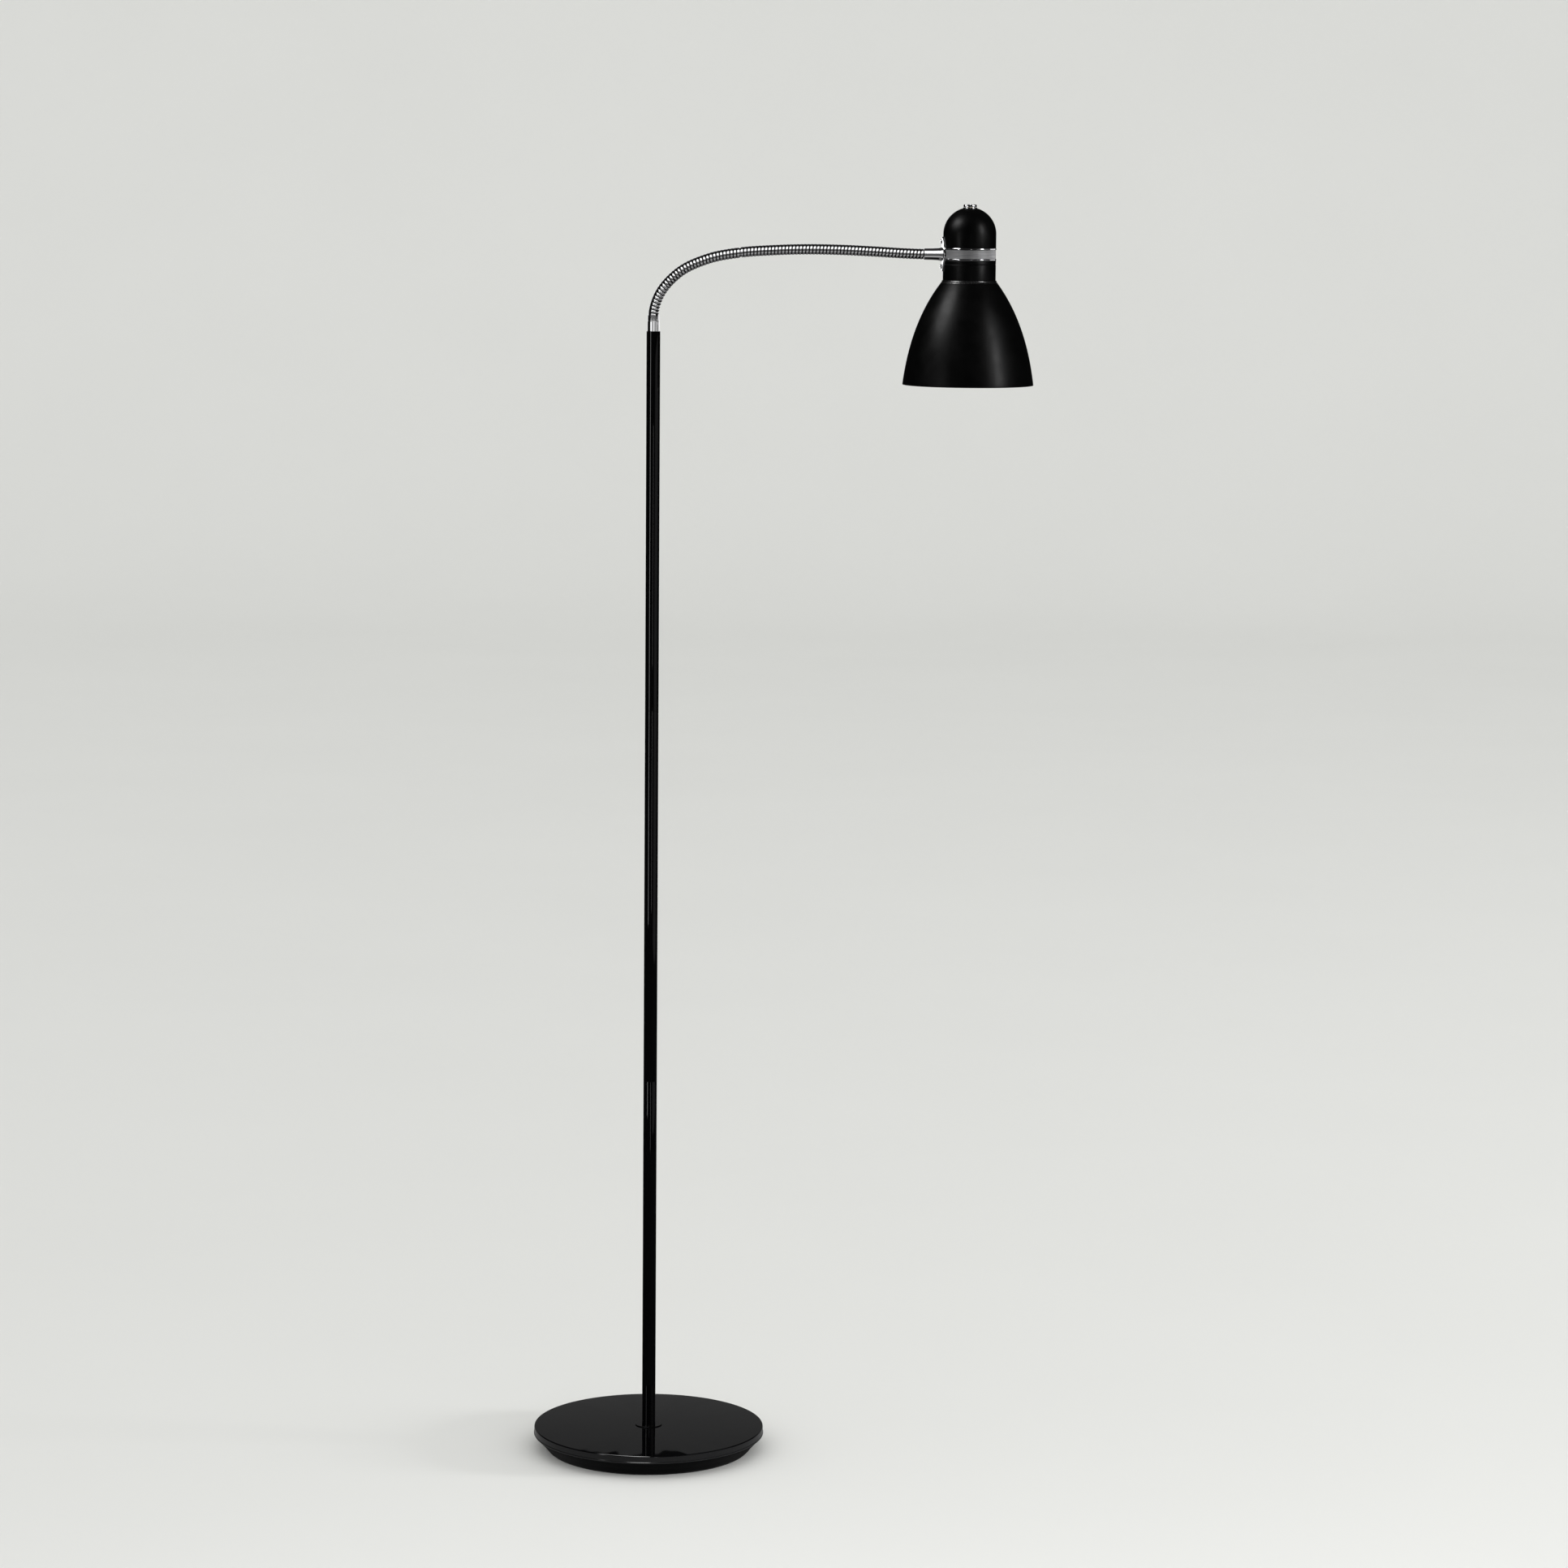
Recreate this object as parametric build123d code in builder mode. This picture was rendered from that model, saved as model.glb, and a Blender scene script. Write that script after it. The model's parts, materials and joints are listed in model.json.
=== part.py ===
from build123d import *
from math import acos, atan2, cos, degrees, hypot, radians, sin, sqrt
import os

# Arm floor lamp: a round weighted base, a black pole of three screwed tubes, a chrome gooseneck
# arm and a bell-shaped head with a rotary switch on its crown.
# Millimetres, +Z up, origin on the floor at the pole's axis, arm reaching out along +X.

os.makedirs("parts", exist_ok=True)

# ---- driving dimensions -------------------------------------------------------------------
# base
base_radius = 130.0
base_top = 26.0
cover_wall = 1.5
rim_foot = 17.2
bead = 0.5
plinth_foot_radius = 115.0
pad_radius = 113.5
pad_thickness = 1.5
nut_recess_radius = 16.0
nut_recess_top = 14.0
inlet_height = 8.5
inlet_face = 117.0
inlet_hole_radius = 5.0
cord_bore = 3.5

# pole
pole_radius = 7.5
pole_wall = 1.2
pole_joints = (423.0, 842.0)
pole_top = 1261.0
insert_length = 20.0
thread_radius = 5.0

# gooseneck arm
arm_foot = 1279.0
arm_radius = 5.9
arm_bore = 3.7
lead_radius = 2.1
socket_gap = 0.3
link_length = 36.5
# downward turn of the half link in the lower ferrule, the eight links, and the half link at the head
link_turns = (26.0, 30.5, 18.0, 10.0, 2.0, 3.0, 2.0, 1.5, 0.0, -3.0)
least_bend = 5.0
lead_gap = 2.0
socket_run = 6.5

# head, heights counted from the arm's end
head_reach = 50.5
head_radius = 29.0
skin = 1.2
band_half = 6.9
dome_centre = 22.0
dome_flat_radius = 8.3
shoulder_drop = 28.5
shade_drop = 142.7
shade_radius = 72.0
shade_skin = 1.0
screw_offset = 13.5
screw_radius = 1.5
holder_radius = 20.0
bulb_radius = 22.5


def write(piece, label):
    """Names a finished piece and writes it to its own file."""
    piece.part.label = label
    export_step(piece.part, f"parts/{label}.step")


def turned(plane, axis, *points):
    """A solid of revolution from a closed outline of straight sides."""
    with BuildPart(mode=Mode.PRIVATE) as solid:
        with BuildSketch(plane):
            with BuildLine():
                Polyline(*points, close=True)
            make_face()
        revolve(axis=axis)
    return solid


def tube(low, high, outer, inner, plane=Plane.XY):
    """A plain tube along the plane's normal."""
    with BuildPart(mode=Mode.PRIVATE) as solid:
        with BuildSketch(plane.offset(low)):
            Circle(outer)
            if inner > 0:
                Circle(inner, mode=Mode.SUBTRACT)
        extrude(amount=high - low)
    return solid


# ---- base ---------------------------------------------------------------------------------
rim_radius = base_radius - bead
cover_under = base_top - cover_wall
weight_radius = rim_radius - cover_wall

write(tube(0, pad_thickness, pad_radius, 0), "base_pad")

# cast weight: full disc under the cover, tapering below it to the floor pad
with BuildPart() as base_weight:
    with BuildSketch(Plane.XZ):
        with BuildLine():
            Polyline(
                (thread_radius, nut_recess_top),
                (nut_recess_radius, nut_recess_top),
                (nut_recess_radius, pad_thickness),
                (plinth_foot_radius, pad_thickness),
                (weight_radius, rim_foot - 0.7),
                (weight_radius, cover_under),
                (thread_radius, cover_under),
                close=True,
            )
        make_face()
    revolve(axis=Axis.Z)
    # flat at the back for the cord inlet, and the passage from it to the nut recess
    with BuildSketch(Plane.XY.offset(pad_thickness)):
        with Locations((0, inlet_face + 10)):
            Rectangle(20, 20)
    extrude(amount=2 * (inlet_height - pad_thickness), mode=Mode.SUBTRACT)
    with BuildSketch(Plane.XZ.offset(-inlet_face)):
        with Locations((0, inlet_height)):
            Circle(inlet_hole_radius)
    extrude(amount=inlet_face - nut_recess_radius + 1, mode=Mode.SUBTRACT)
write(base_weight, "base_weight")

# pressed cover: flat top, rounded shoulder, rim with a small rolled bead at its foot
with BuildPart() as base_cover:
    with BuildSketch(Plane.XZ):
        with BuildLine():
            Polyline(
                (thread_radius, cover_under),
                (weight_radius, cover_under),
                (weight_radius, rim_foot),
                (rim_radius, rim_foot),
                (rim_radius, base_top),
                (thread_radius, base_top),
                close=True,
            )
        make_face()
        with Locations((rim_radius - bead, rim_foot + 2 * bead)):
            Circle(2 * bead)
        with Locations((weight_radius / 2, rim_foot + 2 * bead)):
            Rectangle(weight_radius, 6 * bead, mode=Mode.SUBTRACT)
    revolve(axis=Axis.Z)
    fillet(base_cover.edges().filter_by(GeomType.CIRCLE).group_by(Axis.Z)[-1].sort_by(SortBy.RADIUS)[-1], 1.2)
write(base_cover, "base_cover")

write(tube(base_top, base_top + 1, 2 * pole_radius, pole_radius), "foot_washer")

with BuildPart() as base_nut:
    with BuildSketch(Plane.XY.offset(nut_recess_top - 7)):
        RegularPolygon(17 / 2, 6, major_radius=False)
        Circle(thread_radius, mode=Mode.SUBTRACT)
    extrude(amount=6)
write(base_nut, "base_nut")

write(tube(nut_recess_top - 1, nut_recess_top, 10.5, thread_radius), "base_lock_washer")
write(tube(5, base_top + insert_length - 2, thread_radius, cord_bore), "base_nipple")

# rubber bush in the back of the base, where the supply cord comes in
with BuildPart() as cord_inlet:
    with BuildSketch(Plane.XZ.offset(-inlet_face)):
        with Locations((0, inlet_height)):
            Circle(inlet_hole_radius)
    extrude(amount=12)
    with BuildSketch(Plane.XZ.offset(-inlet_face)):
        with Locations((0, inlet_height)):
            Circle(6.5)
    extrude(amount=-2.5)
    fillet(cord_inlet.edges().filter_by(GeomType.CIRCLE).sort_by(Axis.Y)[-1], 1)
    with BuildSketch(Plane.XZ.offset(-inlet_face - 3)):
        with Locations((0, inlet_height)):
            Circle(cord_bore)
    extrude(amount=16, mode=Mode.SUBTRACT)
write(cord_inlet, "cord_inlet")

# ---- pole ---------------------------------------------------------------------------------
pole_inner = pole_radius - pole_wall
pole_ends = (base_top, *pole_joints, pole_top)
for name, low, high in zip(("pole_lower", "pole_middle", "pole_upper"), pole_ends, pole_ends[1:]):
    write(tube(low, high, pole_radius, pole_inner), name)

write(tube(base_top, base_top + insert_length, pole_inner, thread_radius), "pole_foot_insert")
write(tube(pole_top - insert_length, pole_top, pole_inner, thread_radius), "pole_top_insert")

with BuildPart() as pole_couplings:
    for height in pole_joints:
        with BuildSketch(Plane.XY.offset(height - insert_length)):
            Circle(pole_inner)
            Circle(arm_bore, mode=Mode.SUBTRACT)
        extrude(amount=2 * insert_length)
write(pole_couplings, "pole_couplings")

# chrome ferrule: threaded spigot in the pole, collar, and a slight cone up to the gooseneck
write(
    turned(
        Plane.XZ,
        Axis.Z,
        (arm_bore, pole_top - 15),
        (thread_radius, pole_top - 15),
        (thread_radius, pole_top),
        (6.9, pole_top),
        (6.9, pole_top + 11),
        (6.5, pole_top + 11.8),
        (6.5, arm_foot - 1),
        (6.2, arm_foot),
        (arm_bore, arm_foot),
    ),
    "lower_ferrule",
)


# ---- gooseneck arm ------------------------------------------------------------------------
def station(point, heading):
    """The plane square to the arm at a point, its normal along the arm's heading in degrees."""
    turn = radians(heading)
    return Plane(origin=(point[0], 0, point[1]), x_dir=(0, 1, 0), z_dir=(cos(turn), 0, sin(turn)))


def ahead(point, heading, distance):
    """The point a distance further along a heading in degrees, in the XZ plane."""
    return (point[0] + distance * cos(radians(heading)), point[1] + distance * sin(radians(heading)))


def arm_route(point, heading, turn, length, straight_start):
    """One link's start, bend and end planes, its straight length, its bend's axis, and where it leads.

    A link starts straight, where its socket is, and then bends down in one arc. One that hardly
    turns is straight all along."""
    if abs(turn) < least_bend:
        mean = heading - turn / 2
        end = ahead(point, mean, length)
        return (station(point, mean), None, station(end, mean)), length, None, (end, heading - turn)
    bend = ahead(point, heading, straight_start)
    radius = (length - straight_start) / radians(turn)
    centre = ahead(bend, heading - 90, radius)
    end = ahead(centre, heading - turn + 90, radius)
    planes = (station(point, heading), station(bend, heading), station(end, heading - turn))
    bend_axis = Axis((centre[0], 0, centre[1]), (0, 1, 0))
    return planes, straight_start, bend_axis, (end, heading - turn)


def arm_link(route, turn, socket, ball):
    """One length of gooseneck, with a ball end ahead and a ball socket behind."""
    (start, bend, end), straight, bend_axis, _ = route
    with BuildPart(mode=Mode.PRIVATE) as solid:
        if straight > 0:
            with BuildSketch(start):
                Circle(arm_radius)
                Circle(arm_bore, mode=Mode.SUBTRACT)
            extrude(amount=straight)
        if bend_axis:
            with BuildSketch(bend):
                Circle(arm_radius)
                Circle(arm_bore, mode=Mode.SUBTRACT)
            revolve(axis=bend_axis, revolution_arc=turn)
        if ball:
            with Locations(end):
                Sphere(arm_radius, arc_size1=0)
                Cylinder(arm_bore, 2 * arm_radius, mode=Mode.SUBTRACT)
        if socket:
            with Locations(start):
                Sphere(arm_radius + socket_gap, mode=Mode.SUBTRACT)
    return solid


def lead_piece(route, turn, behind, beyond):
    """The lead inside one link, from behind its start (or short of it) to beyond its end."""
    (start, bend, end), straight, bend_axis, _ = route
    with BuildPart(mode=Mode.PRIVATE) as solid:
        with BuildSketch(start.offset(-behind)):
            Circle(lead_radius)
        extrude(amount=straight + behind + beyond)
        if bend_axis:
            with BuildSketch(bend):
                Circle(lead_radius)
            revolve(axis=bend_axis, revolution_arc=turn)
    return solid


link_lengths = [link_length / 2] + [link_length] * 8 + [link_length / 2]
lead_foot = 4.0
place, facing = (0.0, arm_foot), 90.0
for number, (turn, length) in enumerate(zip(link_turns, link_lengths)):
    first, last = number == 0, number == len(link_turns) - 1
    name = "root" if first else "tip" if last else str(number)
    route = arm_route(place, facing, turn, length, 0 if first else socket_run)
    write(arm_link(route, turn, not first, not last), "gooseneck_" + name)
    # the root's lead comes all the way up the pole, and the tip's goes on into the head
    behind = arm_foot - lead_foot if first else -lead_gap
    beyond = head_reach - 14 if last else 0
    write(lead_piece(route, turn, behind, beyond), "lead_" + name)
    place, facing = route[3]
    if not last:
        print(f"joint {number + 1}: x {place[0]:.3f}, z {place[1]:.3f}, heading {facing:.1f}")
arm_end = place
print(f"arm end: x {arm_end[0]:.3f}, z {arm_end[1]:.3f}, heading {facing:.2f}")

# ---- head ---------------------------------------------------------------------------------
head_x = arm_end[0] + head_reach
ring = arm_end[1]
head_side = Plane(origin=(head_x, 0, ring), x_dir=(1, 0, 0), z_dir=(0, -1, 0))
head_axis = Axis((head_x, 0, ring), (0, 0, 1))
head_plan = Plane(origin=(head_x, 0, ring))
arm_side = Plane(origin=(head_x, 0, ring), x_dir=(0, 1, 0), z_dir=(1, 0, 0))
inner_radius = head_radius - skin
flange_radius = head_radius + 1.5
screw_seats = [
    Plane(origin=(head_x - head_radius, 0, ring + side * screw_offset), x_dir=(0, 1, 0), z_dir=(-1, 0, 0))
    for side in (1, -1)
]
print(f"head axis: x {head_x:.3f}, ring z {ring:.3f}")

# chrome ferrule flared towards the head, saddled on the flange, with a threaded spigot through it
ferrule_axis = Axis((arm_end[0], 0, ring), (1, 0, 0))
ferrule_side = Plane(origin=(arm_end[0], 0, ring), x_dir=(1, 0, 0), z_dir=(0, -1, 0))
ferrule_length = head_reach - head_radius
with BuildPart() as head_ferrule:
    with BuildSketch(ferrule_side):
        with BuildLine():
            Polyline(
                (0.2, arm_bore),
                (0.2, 6.0),
                (1, 6.3),
                (10, 6.5),
                (17, 6.9),
                (19, 7.3),
                (ferrule_length, 7.8),
                (ferrule_length, arm_bore),
                close=True,
            )
        make_face()
    revolve(axis=ferrule_axis)
    with Locations((head_x, 0, ring)):
        Cylinder(flange_radius, 30, mode=Mode.SUBTRACT)
    with BuildSketch(arm_side.offset(-flange_radius - 1)):
        Circle(thread_radius)
        Circle(arm_bore, mode=Mode.SUBTRACT)
    extrude(amount=13)
write(head_ferrule, "head_ferrule")

with BuildPart() as ferrule_locknut:
    with BuildSketch(arm_side.offset(-inner_radius + skin + 1.6)):
        RegularPolygon(7, 6, major_radius=False)
        Circle(thread_radius, mode=Mode.SUBTRACT)
    extrude(amount=4)
write(ferrule_locknut, "ferrule_locknut")

# flange: an oval plate curved round the head, pierced for the ferrule and its two screws
with BuildPart() as mounting_flange:
    with BuildSketch(head_plan.offset(-20)):
        Circle(flange_radius)
        Circle(head_radius, mode=Mode.SUBTRACT)
    extrude(amount=40)
    with BuildSketch(arm_side.offset(-head_radius - 5)):
        Circle(12)
        with Locations((0, screw_offset), (0, -screw_offset)):
            Circle(5.4)
        make_hull()
        Circle(thread_radius, mode=Mode.SUBTRACT)
        with Locations((0, screw_offset), (0, -screw_offset)):
            Circle(screw_radius, mode=Mode.SUBTRACT)
    extrude(amount=head_radius, mode=Mode.INTERSECT)
write(mounting_flange, "mounting_flange")

with BuildPart() as flange_screws:
    for seat in screw_seats:
        with BuildSketch(seat.offset(-4.5)):
            Circle(screw_radius)
        extrude(amount=6.5)
        with BuildSketch(seat.offset(1.5)):
            Circle(2.7)
        extrude(amount=2.2)
        fillet(flange_screws.edges().filter_by(GeomType.CIRCLE).group_by(Axis.X)[0], 1.2)
write(flange_screws, "flange_screws")


# pressed cup that joins cap, band and neck from inside and carries the lampholder on its floor
cup_depth = 18.5
cup_radius = inner_radius - 1.5
with BuildPart() as inner_cup:
    with BuildSketch(head_side):
        with BuildLine():
            Polyline(
                (thread_radius, -cup_depth),
                (inner_radius, -cup_depth),
                (inner_radius, cup_depth),
                (cup_radius, cup_depth),
                (cup_radius, -cup_depth + 1.5),
                (thread_radius, -cup_depth + 1.5),
                close=True,
            )
        make_face()
    revolve(axis=head_axis)
    with BuildSketch(arm_side.offset(-head_radius - 2)):
        Circle(thread_radius)
        with Locations((0, screw_offset), (0, -screw_offset)):
            Circle(screw_radius)
    extrude(amount=10, mode=Mode.SUBTRACT)
write(inner_cup, "inner_cup")

with BuildPart() as ring_band:
    with BuildSketch(head_plan.offset(-band_half)):
        Circle(head_radius)
        Circle(inner_radius, mode=Mode.SUBTRACT)
    extrude(amount=2 * band_half)
    fillet(ring_band.edges().filter_by(GeomType.CIRCLE).sort_by(SortBy.RADIUS)[-2:], 0.5)
    with BuildSketch(arm_side.offset(-head_radius - 2)):
        Circle(thread_radius)
    extrude(amount=10, mode=Mode.SUBTRACT)
write(ring_band, "ring_band")

# domed cap: straight skirt, hemisphere, and a small flat on the crown for the switch
flat_rise = dome_centre + sqrt(head_radius**2 - dome_flat_radius**2)
inner_flat = sqrt(inner_radius**2 - (flat_rise - skin - dome_centre) ** 2)


def dome_arc(radius, rim):
    """The quarter arc of the dome, from its skirt up to the edge of the crown's flat."""
    return CenterArc((0, dome_centre), radius, 0, degrees(acos(rim / radius)))


with BuildPart() as dome_cap:
    with BuildSketch(head_side):
        with BuildLine():
            Line((head_radius, band_half), (head_radius, dome_centre))
            dome_arc(head_radius, dome_flat_radius)
            Polyline(
                (dome_flat_radius, flat_rise),
                (thread_radius, flat_rise),
                (thread_radius, flat_rise - skin),
                (inner_flat, flat_rise - skin),
            )
            dome_arc(inner_radius, inner_flat)
            Polyline((inner_radius, dome_centre), (inner_radius, band_half), (head_radius, band_half))
        make_face()
    revolve(axis=head_axis)
    with BuildSketch(screw_seats[0].offset(-8)):
        Circle(screw_radius)
    extrude(amount=12, mode=Mode.SUBTRACT)
write(dome_cap, "dome_cap")

with BuildPart() as neck_sleeve:
    with BuildSketch(head_plan.offset(-shoulder_drop)):
        Circle(head_radius)
        Circle(inner_radius, mode=Mode.SUBTRACT)
    extrude(amount=shoulder_drop - band_half)
    with BuildSketch(screw_seats[1].offset(-8)):
        Circle(screw_radius)
    extrude(amount=12, mode=Mode.SUBTRACT)
write(neck_sleeve, "neck_sleeve")


# bell-shaped shade: one smooth curve, 38 degrees off upright at the shoulder and 7 at the rim
def shade_curve(top, rim, inset):
    """The bell's curve between two end points, moved inwards by inset at its middle."""
    steep, shallow = radians(38), radians(7)
    shoulder_pull, rim_pull = 40, 44
    after_top = (
        head_radius + shoulder_pull * sin(steep) - inset * cos(steep),
        -shoulder_drop - shoulder_pull * cos(steep) - inset * sin(steep),
    )
    before_rim = (
        shade_radius - rim_pull * sin(shallow) - inset * cos(shallow),
        -shade_drop + rim_pull * cos(shallow) - inset * sin(shallow),
    )
    return Bezier(top, after_top, before_rim, rim)


collar_radius = holder_radius + 0.3
with BuildPart() as shade:
    with BuildSketch(head_side):
        with BuildLine():
            outer_top = (head_radius, -shoulder_drop)
            outer_rim = (shade_radius, -shade_drop)
            inner_top = (head_radius - 0.6, -shoulder_drop - shade_skin)
            inner_rim = (shade_radius - shade_skin, -shade_drop)
            shade_curve(outer_top, outer_rim, 0)
            Line(outer_rim, inner_rim)
            shade_curve(inner_top, inner_rim, shade_skin)
            Polyline(
                inner_top,
                (collar_radius, -shoulder_drop - shade_skin),
                (collar_radius, -shoulder_drop),
                outer_top,
            )
        make_face()
    revolve(axis=head_axis)
write(shade, "shade")

# lampholder: threaded body hung from the cup, ring that clamps the shade against its shoulder
holder_bottom = 66.0
cavity_top = 34.0
write(
    turned(
        head_side,
        head_axis,
        (cord_bore, -24),
        (thread_radius, -24),
        (thread_radius, -cup_depth),
        (15, -cup_depth),
        (holder_radius, -cup_depth - 4),
        (holder_radius, -shoulder_drop + 2),
        (24, -shoulder_drop + 2),
        (24, -shoulder_drop),
        (holder_radius, -shoulder_drop),
        (holder_radius, -holder_bottom + 1),
        (holder_radius - 1, -holder_bottom),
        (16.5, -holder_bottom),
        (16.5, -cavity_top),
        (cord_bore, -cavity_top),
    ),
    "lampholder_body",
)
write(tube(-24, -cup_depth + 5, thread_radius, cord_bore, head_plan), "lampholder_nipple")
shade_foot = -shoulder_drop - shade_skin
with BuildPart() as shade_ring:
    with BuildSketch(head_plan.offset(shade_foot - 6)):
        Circle(25)
        with PolarLocations(25.6, 16):
            Circle(1.2, mode=Mode.SUBTRACT)
        Circle(holder_radius, mode=Mode.SUBTRACT)
    extrude(amount=6)
write(shade_ring, "shade_ring")
write(tube(-cavity_top - 8, -cavity_top, 16.5, 0, head_plan), "contact_block")
write(tube(-cavity_top - 28, -cavity_top - 8, 14.2, 13.5, head_plan), "screw_shell")

# bulb: screw cap and a blown ball joined to its neck by a straight tangent cone
cap_top = -cavity_top - 9
cap_foot = -holder_bottom - 1
write(
    turned(
        head_side,
        head_axis,
        (0, cap_top),
        (4.5, cap_top),
        (8, cap_top - 3),
        (13.2, cap_top - 5),
        (13.2, cap_foot),
        (0, cap_foot),
    ),
    "bulb_cap",
)

ball_centre = cap_foot - 31


def bulb_outline(neck, ball):
    """Neck, tangent cone and ball, from the cap down to the lowest point of the glass."""
    rise = cap_foot - ball_centre
    tangent = atan2(rise, neck) - acos(ball / hypot(neck, rise))
    touch = (ball * cos(tangent), ball_centre + ball * sin(tangent))
    Line((neck, cap_foot), touch)
    CenterArc((0, ball_centre), ball, degrees(tangent), -90 - degrees(tangent))


with BuildPart() as bulb_glass:
    with BuildSketch(head_side):
        with BuildLine():
            bulb_outline(13, bulb_radius)
            Line((0, ball_centre - bulb_radius), (0, ball_centre - bulb_radius + 1))
            bulb_outline(12, bulb_radius - 1)
            Line((12, cap_foot), (13, cap_foot))
        make_face()
    revolve(axis=head_axis)
write(bulb_glass, "bulb_glass")

# ---- rotary switch on the crown ---------------------------------------------------------------
switch_top = flat_rise - skin
switch_foot = switch_top - 16
spindle_radius = 3.0
nut_top = flat_rise + 1
knob_foot = nut_top + 0.3
knob_radius = 7.3
knob_height = 3.0
knob_flutes = 10
spindle_foot = switch_foot + 4
write(
    turned(
        head_side,
        head_axis,
        (0, switch_foot),
        (10, switch_foot),
        (10, switch_top - 1.2),
        (8, switch_top),
        (thread_radius, switch_top),
        (thread_radius, nut_top),
        (spindle_radius + 0.05, nut_top),
        (spindle_radius + 0.05, spindle_foot - 0.5),
        (0, spindle_foot - 0.5),
    ),
    "switch_body",
)
write(tube(flat_rise, nut_top, 7.8, thread_radius, head_plan), "switch_nut")
write(tube(spindle_foot, knob_foot + 2, spindle_radius, 0, head_plan), "switch_spindle")

with BuildPart() as switch_knob:
    with BuildSketch(head_plan.offset(knob_foot)):
        Circle(knob_radius)
        with PolarLocations(knob_radius + 0.5, knob_flutes, start_angle=180 / knob_flutes):
            Circle(1.4, mode=Mode.SUBTRACT)
    extrude(amount=knob_height)
    with BuildSketch(head_plan.offset(knob_foot)):
        Circle(spindle_radius)
    extrude(amount=2, mode=Mode.SUBTRACT)
write(switch_knob, "switch_knob")

with BuildPart() as switch_wires:
    with BuildSketch(head_plan.offset(-cavity_top)):
        with Locations((1.6, 0), (-1.6, 0)):
            Circle(1.0)
    extrude(amount=switch_foot + cavity_top)
write(switch_wires, "switch_wires")

print(f"crown flat z {ring + flat_rise:.3f}, knob top z {ring + knob_foot + knob_height:.3f}")
print(f"shade rim z {ring - shade_drop:.3f}, bulb tip z {ring + ball_centre - bulb_radius:.3f}")
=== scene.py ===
import json
from math import acos, asin, atan2, cos, degrees, hypot, pi, radians, sin, sqrt

import bmesh
import bpy
from mathutils import Matrix, Vector
from mathutils.geometry import convex_hull_2d

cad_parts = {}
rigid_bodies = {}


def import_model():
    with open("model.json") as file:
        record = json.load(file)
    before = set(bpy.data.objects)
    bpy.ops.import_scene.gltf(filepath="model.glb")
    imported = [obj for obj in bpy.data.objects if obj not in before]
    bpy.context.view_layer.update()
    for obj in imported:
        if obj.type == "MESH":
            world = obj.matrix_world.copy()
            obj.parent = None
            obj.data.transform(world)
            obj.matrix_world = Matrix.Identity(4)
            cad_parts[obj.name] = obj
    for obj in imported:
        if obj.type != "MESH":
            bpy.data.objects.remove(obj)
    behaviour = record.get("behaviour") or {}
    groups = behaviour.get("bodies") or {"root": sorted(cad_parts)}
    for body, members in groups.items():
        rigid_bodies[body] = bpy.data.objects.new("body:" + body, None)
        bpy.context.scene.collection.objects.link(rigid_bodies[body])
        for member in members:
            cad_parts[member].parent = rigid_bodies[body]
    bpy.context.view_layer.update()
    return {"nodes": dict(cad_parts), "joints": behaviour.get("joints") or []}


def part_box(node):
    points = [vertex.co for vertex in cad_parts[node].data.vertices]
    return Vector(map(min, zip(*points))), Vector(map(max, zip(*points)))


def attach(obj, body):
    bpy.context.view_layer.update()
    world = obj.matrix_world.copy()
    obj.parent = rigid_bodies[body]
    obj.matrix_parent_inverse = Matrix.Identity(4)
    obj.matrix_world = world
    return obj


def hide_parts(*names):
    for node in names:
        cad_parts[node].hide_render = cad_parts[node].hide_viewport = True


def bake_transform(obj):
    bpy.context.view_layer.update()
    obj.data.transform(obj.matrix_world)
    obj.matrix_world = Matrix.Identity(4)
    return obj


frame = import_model()

MM = 0.001
AROUND = 192  # sides of a round part
AXIS_TURNS = {
    "Z": Matrix.Identity(3),
    "X": Matrix.Rotation(pi / 2, 3, "Y"),
    "Y": Matrix.Rotation(-pi / 2, 3, "X"),
}


# ---- places from the frame ----------------------------------------------------------------
def low(node):
    """The lowest corner of a CAD node's box."""
    return Vector(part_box(node)[0])


def high(node):
    """The highest corner of a CAD node's box."""
    return Vector(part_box(node)[1])


def middle(node):
    """The centre of a CAD node's box."""
    return (low(node) + high(node)) / 2


HINGES = [j for j in frame["joints"] if j["child"].startswith("arm_link_") or j["child"] == "head"]
ARM_BODIES = ["stand"] + [j["child"] for j in HINGES]
HINGE_POINTS = [Vector(j["pos_m"]) for j in HINGES]
BASE_RADIUS = 130 * MM
COVER_TOP = high("base_cover").z
COVER_FOOT = low("base_cover").z
COVER_RIM = BASE_RADIUS - 0.5 * MM
COVER_WALL = 1.5 * MM
WEIGHT_FOOT = low("base_weight").z
INLET_Z = middle("cord_inlet").z
INLET_FACE = high("cord_inlet").y - 2.5 * MM
POLE_RADIUS = 7.5 * MM
POLE_INNER = 6.3 * MM
POLE_TOP = high("pole_upper").z
ARM_FOOT = low("gooseneck_root").z
ARM_END_X = high("gooseneck_tip").x
RING_Z = middle("ring_band").z
HEAD_X = middle("ring_band").x
BAND_HALF = (high("ring_band").z - low("ring_band").z) / 2
CROWN_Z = high("dome_cap").z
# The outlines of the head's turned pieces are in mm from the ring's centre.
HEAD_RADIUS = 29.0
HEAD_WALL = 1.2
NECK_FOOT = -28.5


# ---- node material helpers ----------------------------------------------------------------
def new_material(name):
    """An empty node material with its Principled shader and output."""
    mat = bpy.data.materials.new(name)
    mat.use_nodes = True
    tree = mat.node_tree
    tree.nodes.clear()
    out = tree.nodes.new("ShaderNodeOutputMaterial")
    shader = tree.nodes.new("ShaderNodeBsdfPrincipled")
    tree.links.new(shader.outputs["BSDF"], out.inputs["Surface"])
    return mat, tree, shader


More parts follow.
